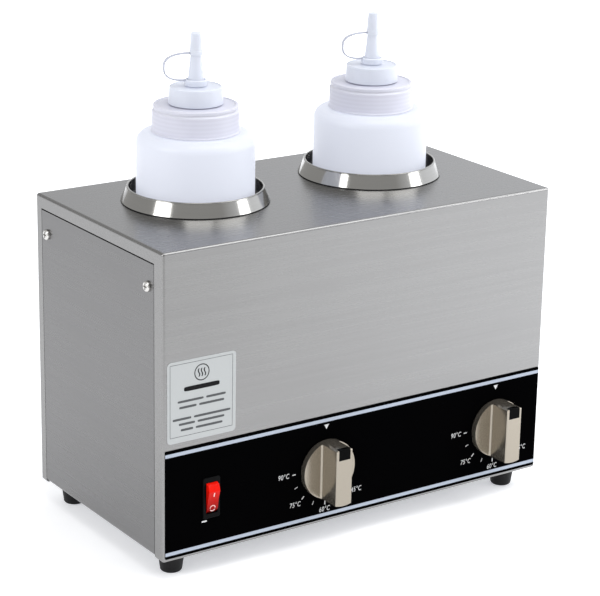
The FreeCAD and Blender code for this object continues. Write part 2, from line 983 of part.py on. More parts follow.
def thermostat(side):
    """A capillary thermostat: bracket behind the front, plastic body, bushing and diaphragm."""
    x = knob_x[side]
    y0 = inside_front_y
    y1 = y0 + bracket_thickness
    y2 = y1 + thermostat_depth
    z0 = knob_z - thermostat_height / 2
    z1 = knob_z + thermostat_height / 2
    half = bracket_width / 2
    rise = bracket_height / 2
    body = box(x - half, x + half, y0, y1, knob_z - rise, knob_z + rise)
    half = thermostat_width / 2
    main = box(x - half, x + half, y1, y2, z0, z1)
    upright = [e for e in main.Edges if abs(e.BoundBox.YLength - thermostat_depth) < 1e-6]
    body = body.fuse(main.makeFillet(thermostat_round, upright))
    body = body.fuse(rod(diaphragm_radius, diaphragm_depth, vec(x, y2, knob_z), BACKWARD))
    bushing_length = sheet + overlay_thickness + bushing_reach
    body = body.fuse(rod(bushing_radius, bushing_length, vec(x, y0, knob_z), FORWARD))
    for sign in (-1, 1):
        tip = thermostat_blade_tip(side, sign)
        rise = blade_width / 2
        reach = blade_thickness / 2
        blade = box(tip.x - reach, tip.x + reach, y2, tip.y, tip.z - rise, tip.z + rise)
        body = body.fuse(blade)
    bore = shaft_radius + shaft_fit
    bore_length = bushing_length + shaft_in_body + 1
    cuts = [rod(bore, bore_length, vec(x, y0 - bushing_length - 1, knob_z), BACKWARD)]
    for screw_x, z in thermostat_screw_places(side):
        base = vec(screw_x, y0 - cut_margin, z)
        cuts.append(rod(m4_shank, thermostat_screw_length + cut_margin, base, BACKWARD))
    return body.cut(cuts)


def thermostat_screws():
    screws = []
    for side in SIDES:
        for x, z in thermostat_screw_places(side):
            screw = pan_screw(
                m4_shank, m4_head, thermostat_screw_head_height, thermostat_screw_length
            )
            screws.append(aimed(screw, vec(x, front_y, z), FORWARD))
    return Part.Compound(screws)


def d_shaft(x, y0, y1, radius):
    shaft = rod(radius, y1 - y0, vec(x, y0, knob_z), BACKWARD)
    low = knob_z + shaft_flat
    return shaft.cut(box(x - radius, x + radius, y0 - 1, y1 + 1, low, low + radius))


def knob_shaft(side):
    """The thermostat's spindle, with a flat along the end that the knob grips."""
    x = knob_x[side]
    flat_end = front_y - knob_skirt_reach
    tip = flat_end - shaft_in_knob
    tail = inside_front_y + shaft_in_body
    gripped = d_shaft(x, tip, flat_end, shaft_radius)
    turned_end = rod(shaft_radius, tail - flat_end, vec(x, flat_end, knob_z), BACKWARD)
    return gripped.fuse(turned_end).removeSplitter()


def skirt_roots(solid, skirt):
    """The two straight edges where the grip bar rises from the skirt."""
    return [
        edge
        for edge in solid.Edges
        if edge.BoundBox.XLength < 1e-6
        and abs(edge.BoundBox.YMax - skirt) < 1e-6
        and abs(edge.BoundBox.YMin - skirt) < 1e-6
    ]


def knob_solid(side):
    """A round skirt with a full-width grip bar, before the pointer's pocket is cut."""
    x = knob_x[side]
    back = front_y - overlay_thickness - knob_clearance
    skirt = front_y - knob_skirt_reach
    face = front_y - knob_reach
    full = rod(knob_radius, back - face, vec(x, back, knob_z), FORWARD)
    half = grip_width / 2
    for sign in (-1, 1):
        xs = sorted((x + sign * half, x + sign * (knob_radius + 1)))
        full = full.cut(box(xs[0], xs[1], face - 1, skirt, knob_z - 30, knob_z + 30))
    rounds = [edge for edge in full.Edges if abs(edge.BoundBox.YMax - face) < 1e-6]
    full = full.makeFillet(knob_round, rounds)
    full = full.makeFillet(knob_root_round, skirt_roots(full, skirt))
    cavity = rod(knob_hollow_radius, knob_hollow_depth, vec(x, back, knob_z), FORWARD)
    spindle = d_shaft(x, skirt - shaft_in_knob, skirt, shaft_radius)
    throat = rod(shaft_radius, back - skirt, vec(x, skirt, knob_z), BACKWARD)
    return full.cut([cavity, spindle, throat])


def pointer_block(side):
    x = knob_x[side]
    half = pointer_width / 2
    face = front_y - knob_reach
    low = knob_z + knob_radius - pointer_length
    return box(x - half, x + half, face - 1, face + pointer_depth, low, knob_z + knob_radius + 1)


def knob(side):
    return knob_solid(side).cut(pointer_block(side))


def knob_pointer(side):
    """The dark insert that marks the top end of the grip."""
    return knob_solid(side).common(pointer_block(side))


def sensor_bulb(side):
    """A copper bulb under the pot, and the capillary that joins it to the thermostat."""
    x = well_x[side]
    outward = 1 if knob_x[side] > x else -1
    z = bulb_z
    half = bulb_length / 2
    body = rod(bulb_radius, bulb_length, vec(x - half, well_y, z), RIGHT)
    rear = inside_front_y + bracket_thickness + thermostat_depth
    end_x = x + outward * half
    down_x = knob_x[side] + capillary_inset
    drop = knob_z - thermostat_height / 2 + capillary_inset
    points = [
        vec(end_x - outward, well_y, z),
        vec(down_x, well_y, z),
        vec(down_x, rear + capillary_behind_body, z),
        vec(down_x, rear + capillary_behind_body, drop),
        vec(down_x, rear, drop),
    ]
    if abs(down_x - end_x) < 2 * capillary_bend:
        points[0] = vec(end_x - outward * bulb_length / 2, well_y, z)
    return body.fuse(tube(points, capillary_radius, capillary_bend))


def bulb_clips():
    """A folded strap under each pot that holds the bulb."""
    clips = []
    z1 = pot_bottom_z
    reach = bulb_radius + bulb_gap
    wall = clip_thickness
    z0 = z1 - 2 * reach - wall
    half = clip_width / 2
    for side in SIDES:
        x = well_x[side]
        outer = box(x - half, x + half, well_y - reach - wall, well_y + reach + wall, z0, z1)
        inner = box(x - half, x + half, well_y - reach, well_y + reach, z0 + wall, z1)
        clip = outer.cut(inner)
        for sign in (-1, 1):
            ys = sorted((well_y + sign * reach, well_y + sign * (reach + clip_foot)))
            clip = clip.fuse(box(x - half, x + half, ys[0], ys[1], z1 - wall, z1))
        clips.append(clip.removeSplitter())
    return Part.Compound(clips)


# ---- rocker switch ----

def switch_pivot():
    return vec(switch_x, front_y - overlay_thickness - bezel_thickness + rocker_pivot_depth, switch_z)


def switch_blade_tip(step):
    """The end of the lower (-1), middle (0) or upper (1) blade at the back of the switch."""
    y = front_y - overlay_thickness - bezel_thickness + housing_depth + blade_length
    return vec(switch_x, y, switch_z + step * switch_blade_pitch)


def switch_housing():
    """Bezel, box and terminals of the switch, with the well that the rocker swings in."""
    bezel_face = front_y - overlay_thickness - bezel_thickness
    bezel = upright_slab(
        bezel_width, bezel_height, 1.2, switch_x, front_y - overlay_thickness, switch_z, bezel_thickness
    )
    front_edges = [e for e in bezel.Edges if abs(e.BoundBox.YMax - bezel_face) < 1e-6]
    bezel = bezel.makeFillet(0.6, front_edges)
    back = bezel_face + housing_depth
    core = upright_slab(housing_width, housing_height, 0.5, switch_x, back, switch_z, housing_depth - 1.0)
    body = bezel.fuse(core)
    half = switch_blade_width / 2
    rise = blade_thickness / 2
    for step in (-1, 0, 1):
        tip = switch_blade_tip(step)
        blade = box(tip.x - half, tip.x + half, back - 1, tip.y, tip.z - rise, tip.z + rise)
        body = body.fuse(blade)
    pivot = switch_pivot()
    half = rocker_width / 2 + rocker_gap
    swing = rod(rocker_swing_radius + rocker_swing_gap, 2 * half, pivot + LEFT * half, RIGHT)
    depth = rocker_swing_radius * math.sin(math.radians(rocker_throw / 2)) + rocker_back + rocker_gap
    swing = swing.common(box(switch_x - 20, switch_x + 20, bezel_face - 20, pivot.y + depth, 0, panel_z))
    hole_half = rocker_width / 2 + trunnion_reach + rocker_gap
    pin_hole = rod(trunnion_radius + trunnion_fit, 2 * hole_half, pivot + LEFT * hole_half, RIGHT)
    return body.cut([swing, pin_hole])


def switch_rocker():
    """The rocker with its upper end out, which is the off position."""
    pivot = switch_pivot()
    half = rocker_width / 2
    end = rocker_swing_radius + 1
    rise = rocker_pivot_depth
    outline = [
        (rocker_back, -end, 0),
        (-rise - rocker_end_rise, -end, 0),
        (-rise - rocker_ridge_rise, -rocker_ridge_offset, 0.8),
        (-rise - rocker_middle_rise, 0, 12.0),
        (-rise - rocker_ridge_rise, rocker_ridge_offset, 0.8),
        (-rise - rocker_end_rise, end, 0),
        (rocker_back, end, 0),
    ]
    corners = [(vec(pivot.x - half, pivot.y + y, pivot.z + z), r) for y, z, r in outline]
    rocker = Part.Face(Part.Wire(rounded_edges(corners))).extrude(RIGHT * rocker_width)
    rocker = rocker.common(rod(rocker_swing_radius, rocker_width, pivot + LEFT * half, RIGHT))
    pin_half = half + trunnion_reach
    rocker = rocker.fuse(rod(trunnion_radius, 2 * pin_half, pivot + LEFT * pin_half, RIGHT))
    rocker.rotate(pivot, RIGHT, rocker_throw / 2)
    return rocker


# ---- mains inlet, terminal block and earth stud ----

def inlet_outline(width, height, chamfer, y):
    """The socket outline in the XZ plane: a rectangle with its two upper corners cut off."""
    x0 = inlet_x - width / 2
    x1 = inlet_x + width / 2
    z0 = inlet_z - height / 2
    z1 = inlet_z + height / 2
    ends = [
        (x0, z0),
        (x1, z0),
        (x1, z1 - chamfer),
        (x1 - chamfer, z1),
        (x0 + chamfer, z1),
        (x0, z1 - chamfer),
    ]
    corners = [(vec(a, y, b), inlet_round) for a, b in ends]
    return Part.Face(Part.Wire(rounded_edges(corners)))


def inlet_screw_head(x):
    """The cone of a countersunk screw, flush with the flange's face."""
    depth = m3_head - m3_shank
    base = vec(x, back_y + inlet_flange_thickness - depth, inlet_z)
    return Part.makeCone(m3_shank, m3_head, depth, base, BACKWARD)


def mains_inlet():
    """A three-pin mains inlet: flange, body and the hollow that a connector enters."""
    face = back_y + inlet_flange_thickness
    flange = upright_slab(
        inlet_flange_width,
        inlet_flange_height,
        inlet_flange_corner,
        inlet_x,
        face,
        inlet_z,
        inlet_flange_thickness,
    )
    edges = [e for e in flange.Edges if abs(e.BoundBox.YMin - face) < 1e-6]
    flange = flange.makeFillet(inlet_flange_round, edges)
    body = inlet_outline(inlet_body_width, inlet_body_height, inlet_chamfer, back_y).extrude(
        FORWARD * (inlet_body_depth + sheet)
    )
    solid = flange.fuse(body)
    hollow = inlet_outline(inlet_socket_width, inlet_socket_height, inlet_socket_chamfer, face + 1).extrude(
        FORWARD * (inlet_socket_depth + 1)
    )
    cuts = [hollow]
    for sign in (-1, 1):
        x = inlet_x + sign * inlet_screw_spacing / 2
        hole_length = inlet_flange_thickness + 2 * cut_margin
        cuts.append(rod(m3_shank, hole_length, vec(x, back_y - cut_margin, inlet_z), BACKWARD))
        cuts.append(inlet_screw_head(x))
    for pin in inlet_pin_boxes():
        cuts.append(pin)
    return solid.cut(cuts)


def inlet_tail(step):
    """The tail of the left current pin (-1), the raised earth pin (0) or the right one (1)."""
    y = back_y - inlet_body_depth - sheet - inlet_tail_length
    rise = inlet_pin_offset if step == 0 else -inlet_pin_offset
    return vec(inlet_x + step * inlet_pin_spacing, y, inlet_z + rise)


def inlet_pin_boxes():
    """The three pins, each from its tail to its tip."""
    tip = back_y + inlet_flange_thickness - inlet_pin_setback
    half = inlet_pin_width / 2
    rise = inlet_pin_height / 2
    tails = [inlet_tail(step) for step in (-1, 0, 1)]
    return [box(t.x - half, t.x + half, t.y, tip, t.z - rise, t.z + rise) for t in tails]


def inlet_screws():
    """Two countersunk screws and their nuts."""
    face = back_y + inlet_flange_thickness
    seat = face - (m3_head - m3_shank)
    rise = inlet_screw_slot_width / 2
    floor = face - inlet_screw_slot_depth
    pieces = []
    for sign in (-1, 1):
        x = inlet_x + sign * inlet_screw_spacing / 2
        shank = rod(m3_shank, inlet_screw_length, vec(x, seat, inlet_z), FORWARD)
        slot = box(x - m3_head, x + m3_head, floor, face + 1, inlet_z - rise, inlet_z + rise)
        pieces.append(inlet_screw_head(x).fuse(shank).removeSplitter().cut(slot))
        nut = hex_nut(m3_nut_across_flats, m3_nut_height, m3_shank)
        pieces.append(aimed(nut, vec(x, back_y - sheet, inlet_z), FORWARD))
    return Part.Compound(pieces)


def block_screw_base(z):
    return vec(block_x, block_y, z)


def block_way_places():
    pitch = block_width / (block_ways + 1)
    middle = (block_ways + 1) / 2
    y = block_y
    xs = [block_x + (i + 1 - middle) * pitch for i in range(block_ways)]
    return [(x, y + side * block_depth / 4) for x in xs for side in (-1, 1) if abs(x - block_x) > 1]


def block_entry(pole, shift, end):
    """Where a wire meets the block: pole -1 or 1, a sideways shift, front (-1) or back (1) face."""
    pitch = block_width / (block_ways + 1)
    y = block_y + end * block_depth / 2
    return vec(block_x + pole * pitch + shift, y, tray_top_z + block_entry_rise)


def terminal_block():
    """A ceramic block with a wire way and a pair of clamping wells for each pole."""
    y = block_y
    half = block_width / 2
    z0 = tray_top_z
    z1 = z0 + block_height
    block = box(block_x - half, block_x + half, y - block_depth / 2, y + block_depth / 2, z0, z1)
    upright = [e for e in block.Edges if abs(e.BoundBox.ZLength - block_height) < 1e-6]
    block = block.makeFillet(block_corner, upright)
    cuts = [rod(m3_shank + screw_hole_gap, block_height + 2, vec(block_x, y, z0 - 1))]
    sink = rod(m3_head + screw_hole_gap, block_sink + 1, vec(block_x, y, z1 - block_sink))
    cuts.append(sink)
    for x, way_y in block_way_places():
        base = vec(x, way_y, z1 - block_well_depth)
        cuts.append(rod(block_well_radius, block_well_depth + 1, base))
    return block.cut(cuts)


def terminal_screws():
    """The clamping screws in the block's wells and the screw that holds the block down."""
    z1 = tray_top_z + block_height
    pieces = []
    for x, y in block_way_places():
        screw = pan_screw(clamp_shank, clamp_head, clamp_head_height, clamp_length)
        seat = z1 - block_well_depth + clamp_floor_gap + clamp_length
        pieces.append(aimed(screw, vec(x, y, seat), UP))
    hold_down = pan_screw(m3_shank, m3_head, m3_head_height, block_height - block_sink + sheet)
    pieces.append(aimed(hold_down, block_screw_base(z1 - block_sink), UP))
    return Part.Compound(pieces)


def earth_lug():
    """Where the earth wire meets the washer's lug."""
    return vec(stud_x + lug_wire_x, stud_y, tray_top_z + washer_rise + washer_thickness)


def earth_stud():
    """A stud welded to the tray, with a lugged washer and a nut."""
    y = stud_y
    z = tray_top_z + washer_rise
    stud = rod(m4_shank, stud_height, vec(stud_x, y, tray_top_z))
    half = lug_width / 2
    washer = rod(washer_radius, washer_thickness, vec(stud_x, y, z))
    top = z + washer_thickness
    washer = washer.fuse(box(stud_x, stud_x + lug_length, y - half, y + half, z, top))
    washer = washer.cut(rod(m4_shank, washer_thickness + 2, vec(stud_x, y, z - 1)))
    nut = hex_nut(m4_nut_across_flats, m4_nut_height, m4_shank)
    nut = aimed(nut, vec(stud_x, y, top), UP)
    return Part.Compound([stud, washer.removeSplitter(), nut])


# ---- wires, each laid in lanes at their own height ----

def from_front(x, distance, rise):
    """A turning point of a wire behind the casing's front face, above the tray's floor."""
    return vec(x, front_y + distance, tray_top_z + rise)


def from_back(x, distance, rise):
    return vec(x, back_y - distance, tray_top_z + rise)


def from_tail(x, distance, rise):
    """A turning point in front of the mains inlet's tails."""
    return vec(x, inlet_tail(0).y - distance, tray_top_z + rise)


def from_block(x, distance, rise):
    """A turning point in front of the terminal block."""
    return vec(x, block_front_y - distance, tray_top_z + rise)


def wires(routes):
    return Part.Compound([tube(route, wire_radius, wire_bend) for route in routes])


def climb_to_heater(tip, start):
    """Points that take a wire from a start up behind the front sheet to a heater's terminal."""
    out_y = start.y + wire_run_out
    rise = tip.z - start.z
    top = start.z + heater_climb_share * rise
    return [
        start,
        vec(start.x, out_y, start.z),
        vec(start.x, out_y, top),
        vec(tip.x, heater_lane_y, top + heater_step_share * rise),
        vec(tip.x, heater_lane_y, tip.z),
        tip,
    ]


def live_wires():
    """Inlet to switch, switch to block, block to thermostats, thermostats to heaters."""
    inlet = inlet_tail(-1)
    low = switch_blade_tip(-1)
    middle = switch_blade_tip(0)
    to_switch = [
        inlet,
        from_tail(inlet.x, inlet_lane_from_tail, inlet.z - tray_top_z),
        from_tail(inlet.x, inlet_lane_from_tail, low_lane_rise),
        from_tail(switch_x, inlet_lane_from_tail, low_lane_rise),
        from_front(switch_x, switch_lane_from_front, low_lane_rise),
        from_front(switch_x, switch_lane_from_front, low.z - tray_top_z),
        low,
    ]
    entry = block_entry(-1, 0, -1)
    to_block = [
        middle,
        from_front(switch_x, middle_lane_from_front, middle.z - tray_top_z),
        from_front(switch_x + middle_lane_shift, middle_lane_from_front, middle_lane_rise),
        from_front(entry.x, middle_lane_from_front, middle_lane_rise),
        from_block(entry.x, block_lane_reach, middle_lane_rise),
        from_block(entry.x, block_lane_reach, block_entry_rise),
        entry,
    ]
    left_in = thermostat_blade_tip("left", 1)
    entry = block_entry(-1, -live_entry_shift, -1)
    to_left = [
        entry,
        from_block(entry.x, left_feed_reach, block_entry_rise),
        from_block(entry.x, left_feed_reach, left_in.z - tray_top_z),
        from_block(left_in.x, left_feed_reach, left_in.z - tray_top_z),
        left_in,
    ]
    right_in = thermostat_blade_tip("right", -1)
    entry = block_entry(-1, live_entry_shift, -1)
    to_right = [
        entry,
        from_block(entry.x, right_feed_reach, block_entry_rise),
        from_block(right_in.x, right_feed_reach, block_entry_rise),
        from_block(right_in.x, right_feed_reach, right_in.z - tray_top_z),
        right_in,
    ]
    left_out = thermostat_blade_tip("left", -1)
    right_out = thermostat_blade_tip("right", 1)
    left_tip = heater_terminal_tip("left", 1)
    right_tip = heater_terminal_tip("right", 1)
    left_heat = climb_to_heater(left_tip, left_out)
    right_heat = climb_to_heater(right_tip, right_out)
    return wires([to_switch, to_block, to_left, to_right, left_heat, right_heat])


def neutral_wires():
    """Inlet to block, and block to the two heaters."""
    inlet = inlet_tail(1)
    back_entry = block_entry(1, 0, 1)
    turn_x = stud_x + neutral_turn_from_stud
    to_block = [
        inlet,
        from_tail(inlet.x, neutral_lane_from_tail, inlet.z - tray_top_z),
        from_tail(inlet.x, neutral_lane_from_tail, block_entry_rise),
        from_tail(turn_x, neutral_lane_from_tail, block_entry_rise),
        from_back(turn_x, neutral_back_from_back, block_entry_rise),
        from_back(back_entry.x, neutral_back_from_back, block_entry_rise),
        back_entry,
    ]
    lane_z = neutral_lane_z
    entry = block_entry(1, -neutral_entry_shift, -1)
    tip = heater_terminal_tip("left", -1)
    to_left = [
        entry,
        from_block(entry.x, left_neutral_reach, block_entry_rise),
        vec(entry.x, block_front_y - left_neutral_reach, lane_z),
        vec(entry.x, block_front_y - left_neutral_front_reach, lane_z),
        vec(tip.x, block_front_y - left_neutral_front_reach, lane_z),
        vec(tip.x, heater_lane_y, lane_z + neutral_step_share * (tip.z - lane_z)),
        vec(tip.x, heater_lane_y, tip.z),
        tip,
    ]
    lane_z = neutral_lane_z - right_neutral_below
    entry = block_entry(1, neutral_entry_shift, -1)
    tip = heater_terminal_tip("right", -1)
    to_right = [
        entry,
        from_block(entry.x, right_neutral_reach, block_entry_rise),
        vec(entry.x, block_front_y - right_neutral_reach, lane_z),
        vec(tip.x, heater_lane_y, lane_z),
        vec(tip.x, heater_lane_y, tip.z),
        tip,
    ]
    return wires([to_block, to_left, to_right])


def earth_wire():
    """Inlet's raised pin to the lug on the earth stud."""
    start = inlet_tail(0)
    end = earth_lug()
    route = [
        start,
        from_tail(start.x, earth_lane_from_tail, start.z - tray_top_z),
        from_tail(start.x, earth_turn_from_tail, start.z - tray_top_z + low_lane_rise),
        vec(end.x, end.y, start.z),
        end,
    ]
    return wires([route])


# ---- squeeze bottles ----

def bottle(side):
    """The blown bottle: thin wall, rounded shoulder and a threaded wide neck."""
    r = bottle_radius
    top = bottle_straight + shoulder_round
    neck_top = top + neck_height
    bore = neck_radius - neck_wall
    body = turned(
        [
            (0, 0, 0),
            (r, 0, bottle_base_round),
            (r, top, shoulder_bend),
            (neck_radius, top, neck_foot_round),
            (neck_radius, neck_top, 0.4),
            (bore, neck_top, 0.4),
            (bore, top - bottle_wall, 0),
            (r - bottle_wall, top - bottle_wall, shoulder_bend - bottle_wall),
            (r - bottle_wall, bottle_floor, bottle_base_round - bottle_wall),
            (0, bottle_floor, 0),
        ],
        well_x[side],
        well_y,
        bottle_z,
    )
    ridge = ridge_thread(neck_radius, thread_rise, thread_pitch, thread_turns)
    ridge.translate(vec(well_x[side], well_y, shoulder_z + thread_start))
    return body.fuse(ridge)


def bottle_lid(side):
    """The wide screw lid, with its own small threaded neck."""
    bore = thread_radius + thread_clearance
    ceiling = lid_height - lid_top_thickness
    floor = lid_height - lid_recess
    spout_bore = lid_neck_radius - lid_neck_wall
    body = turned(
        [
            (bore, 0, 0.3),
            (lid_radius + lid_flare, 0, 0.4),
            (lid_radius, lid_flare_height, 0.5),
            (lid_radius - lid_draft, lid_height - lid_skirt_drop, 0.6),
            (lid_radius - lid_groove_depth, lid_height - lid_groove_drop, 0.4),
            (lid_rim_radius, lid_height - lid_rim_height, 0.5),
            (lid_rim_radius, lid_height, 0.9),
            (lid_rim_radius - lid_rim_width, lid_height, 0.6),
            (lid_rim_radius - lid_rim_width - lid_rim_slope, floor, 0.3),
            (lid_neck_radius, floor, 0),
            (lid_neck_radius, lid_height + lid_neck_height, 0.3),
            (spout_bore, lid_height + lid_neck_height, 0.3),
            (spout_bore, ceiling, 0.3),
            (bore, ceiling, 0.5),
        ],
        well_x[side],
        well_y,
        lid_z,
    )
    ridge = ridge_thread(lid_neck_radius, thread_rise, thread_pitch, small_thread_turns)
    ridge.translate(vec(well_x[side], well_y, lid_top_z + small_thread_start))
    return body.fuse(ridge)


def lid_seal(side):
    """The flat sealing ring between the bottle's neck and the lid."""
    outer = neck_radius
    return turned(
        [
            (outer - seal_width, 0, 0.2),
            (outer, 0, 0.2),
            (outer, lid_seal_thickness, 0.2),
            (outer - seal_width, lid_seal_thickness, 0.2),
        ],
        well_x[side],
        well_y,
        neck_top_z + seal_gap,
    )


def cap_seal_z():
    return lid_top_z + lid_neck_height + seal_gap


def nozzle_radius(height):
    """Radius of the nozzle at a height above the cap's top."""
    return nozzle_shoulder_radius - nozzle_taper * (height - nozzle_shoulder_height)


def nozzle_cap(side):
    """The small screw cap with its long hollow nozzle."""
    bore = small_thread_radius + thread_clearance
    ceiling = cap_height - cap_top_thickness
    tip = cap_height + nozzle_height
    passage_top = nozzle_radius(nozzle_height) - nozzle_wall
    floor = cap_height - cap_recess
    body = turned(
        [
            (bore, 0, 0.3),
            (cap_radius, 0, 0.4),
            (cap_top_radius, cap_height, 0.8),
            (cap_top_radius - cap_rim_width, cap_height, 0.4),
            (cap_top_radius - cap_rim_width - cap_rim_slope, floor, 0.2),
            (nozzle_root_radius, floor, 0.3),
            (nozzle_shoulder_radius, cap_height + nozzle_shoulder_height, 0),
            (nozzle_radius(nozzle_height), tip, 0.4),
            (passage_top, tip, 0),
            (nozzle_root_radius - nozzle_wall, ceiling, 0.5),
            (bore, ceiling, 0.5),
        ],
        well_x[side],
        well_y,
        cap_z,
    )
    return body


def cap_seal(side):
    """The small sealing ring between the lid's neck and the nozzle cap."""
    outer = lid_neck_radius
    return turned(
        [
            (outer - seal_width, 0, 0.2),
            (outer, 0, 0.2),
            (outer, cap_seal_thickness, 0.2),
            (outer - seal_width, cap_seal_thickness, 0.2),
        ],
        well_x[side],
        well_y,
        cap_seal_z(),
    )


def tether_ring(side):
    """The loose ring of the tether, round the foot of the nozzle."""
    bore = tether_ring_bore
    return turned(
        [
            (bore, 0, 0.3),
            (tether_ring_radius, 0, 0.6),
            (tether_ring_radius, tether_ring_height, 0.8),
            (bore, tether_ring_height, 0.3),
        ],
        well_x[side],
        well_y,
        cap_top_z + tether_ring_low,
    )


def tip_cap(side):
    """The closed cap over the nozzle's tip."""
    low = tip_cap_low
    high = tip_cap_low + tip_cap_height
    roof = high - tip_cap_roof
    shoulder = low + tip_cap_rim_height
    return turned(
        [
            (tip_cap_bore, low, 0),
            (tip_cap_rim_radius, low, 0.4),
            (tip_cap_rim_radius - tip_cap_rim_draft, shoulder, 0.3),
            (tip_cap_radius, shoulder + tip_cap_rim_slope, 0),
            (tip_cap_top_radius, high, 0.6),
            (0, high, 0),
            (0, roof, 0),
            (nozzle_radius(roof) + tip_cap_fit, roof, 0.3),
        ],
        well_x[side],
        well_y,
        cap_top_z,
    )


def tether_strap(side):
    """The flat strap that bows out between the tip cap's rim and the ring."""
    heading = math.radians(strap_heading)
    out = vec(math.cos(heading), math.sin(heading), 0)
    across = UP.cross(out)
    centre = vec(well_x[side], well_y, cap_top_z)
    high = centre + UP * strap_cap_height
    low = centre + UP * strap_ring_height
    points = [
        high + out * (tip_cap_rim_radius - 0.4),
        high + out * strap_reach,
        low + out * strap_reach,
        low + out * (tether_ring_radius - 0.4),
    ]
    half = strap_width / 2
    rise = strap_thickness / 2
    ends = [(-half, -rise), (half, -rise), (half, rise), (-half, rise)]
    section = Part.Wire(rounded_edges([(points[0] + across * a + UP * b, 0) for a, b in ends]))
    strap = swept(points, strap_bend, section)
    ring_clear = rod(tether_ring_radius, 12, low - UP * 6)
    cap_clear = rod(tip_cap_rim_radius, 12, high - UP * 6)
    return strap.cut([ring_clear, cap_clear])


# ---- one STEP file for each node ----

def nodes():
    parts = {
        "outer_wrapper": outer_wrapper(),
        "base_tray": base_tray(),
        "retaining_tabs": retaining_tabs(),
        "side_screws": side_screws(),
        "foot_screws": foot_screws(),
        "well_screws": well_screws(),
        "heater_clamp_screws": heater_clamp_screws(),
        "control_overlay": control_overlay(),
        "info_plate": info_plate(),
        "thermostat_screws": thermostat_screws(),
        "bulb_clips": bulb_clips(),
        "switch_housing": switch_housing(),
        "switch_rocker": switch_rocker(),
        "mains_inlet": mains_inlet(),
        "inlet_pins": Part.Compound(inlet_pin_boxes()),
        "inlet_screws": inlet_screws(),
        "terminal_block": terminal_block(),
        "terminal_screws": terminal_screws(),
        "earth_stud": earth_stud(),
        "live_wires": live_wires(),
        "neutral_wires": neutral_wires(),
        "earth_wire": earth_wire(),
    }
    for name, (x, y) in foot_places().items():
        parts[f"foot_{name}"] = foot(x, y)
    paired = {
        "well_ring": well_ring,
        "well_pot": well_pot,
        "band_heater": band_heater,
        "pot_sleeve": pot_sleeve,
        "thermostat": thermostat,
        "sensor_bulb": sensor_bulb,
        "knob": knob,
        "knob_pointer": knob_pointer,
        "knob_shaft": knob_shaft,
        "bottle": bottle,
        "bottle_lid": bottle_lid,
        "lid_seal": lid_seal,
        "nozzle_cap": nozzle_cap,
        "cap_seal": cap_seal,
        "tether_ring": tether_ring,
        "tip_cap": tip_cap,
        "tether_strap": tether_strap,
    }
    for name, make in paired.items():
        for side in SIDES:
            parts[f"{name}_{side}"] = make(side)
    return parts


def main():
    os.makedirs("parts", exist_ok=True)
    for name, shape in nodes().items():
        shape.exportStep(f"parts/{name}.step")
        print(name, len(shape.Solids), "solids", round(shape.Volume, 1), "mm3", shape.isValid())


main()
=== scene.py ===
# %% [markdown]
# # A two-well warmer for squeeze bottles
# The packed model holds every piece of the warmer at its real size: a folded steel casing, two deep
# pots with conical collars, two one-litre squeeze bottles and the controls. This lesson dresses
# that model. The metal, rubber and plastic get finishes made of shader nodes, and the few things
# that are only printed or moulded on a surface are added as new meshes.

import math

import bmesh
import bpy
import numpy as np
from mathutils import Matrix, Vector


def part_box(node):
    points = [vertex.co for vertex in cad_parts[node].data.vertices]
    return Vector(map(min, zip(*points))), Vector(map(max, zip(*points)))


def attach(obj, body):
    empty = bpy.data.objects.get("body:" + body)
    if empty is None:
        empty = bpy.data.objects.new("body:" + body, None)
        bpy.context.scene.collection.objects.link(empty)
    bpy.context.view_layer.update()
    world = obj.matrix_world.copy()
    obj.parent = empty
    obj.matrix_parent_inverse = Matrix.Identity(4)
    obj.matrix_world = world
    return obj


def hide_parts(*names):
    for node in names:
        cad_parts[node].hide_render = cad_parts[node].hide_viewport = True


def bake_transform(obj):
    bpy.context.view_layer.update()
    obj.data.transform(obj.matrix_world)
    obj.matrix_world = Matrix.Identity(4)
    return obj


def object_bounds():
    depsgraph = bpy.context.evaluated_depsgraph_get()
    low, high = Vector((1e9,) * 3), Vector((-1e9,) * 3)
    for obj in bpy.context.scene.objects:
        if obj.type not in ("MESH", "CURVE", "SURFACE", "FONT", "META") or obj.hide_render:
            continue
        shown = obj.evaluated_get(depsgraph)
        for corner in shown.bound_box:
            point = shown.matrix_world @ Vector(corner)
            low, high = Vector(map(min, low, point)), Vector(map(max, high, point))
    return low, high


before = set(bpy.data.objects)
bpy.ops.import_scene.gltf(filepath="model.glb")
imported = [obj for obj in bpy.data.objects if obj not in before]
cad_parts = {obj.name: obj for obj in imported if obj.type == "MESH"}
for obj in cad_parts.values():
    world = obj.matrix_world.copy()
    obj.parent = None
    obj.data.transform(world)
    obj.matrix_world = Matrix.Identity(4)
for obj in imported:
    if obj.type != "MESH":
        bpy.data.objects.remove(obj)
cad_low, cad_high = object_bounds()

# %% [markdown]
# ## Places to work from
# Nothing is placed by eye. A part's box gives its lowest and highest corner, and from those boxes
# come the few places that later cells need: the plane of the black overlay, the middle of each
# knob, and the upright axis of each bottle.

# %% Measure the frame
MM = 0.001
SIDES = ("left", "right")


def middle(node):
    low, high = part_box(node)
    return (low + high) / 2


overlay_low, overlay_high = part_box("control_overlay")
plate_low, plate_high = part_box("info_plate")
overlay_y = overlay_low.y
plate_y = plate_low.y
casing_low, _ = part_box("outer_wrapper")
axis = {side: middle(f"well_ring_{side}") for side in SIDES}
knob = {side: middle(f"knob_{side}") for side in SIDES}
print("overlay at y", round(overlay_y, 5), "bottles at x", [round(axis[s].x, 4) for s in SIDES])

# %% [markdown]
# ## The camera
# A product shot is taken from a little above the edge of the table, from the front left, with a
# long lens so that upright edges stay nearly parallel. A camera's matrix is three directions: its
# right, its up, and the way back from the object to the camera. The small roll is part of the shot.

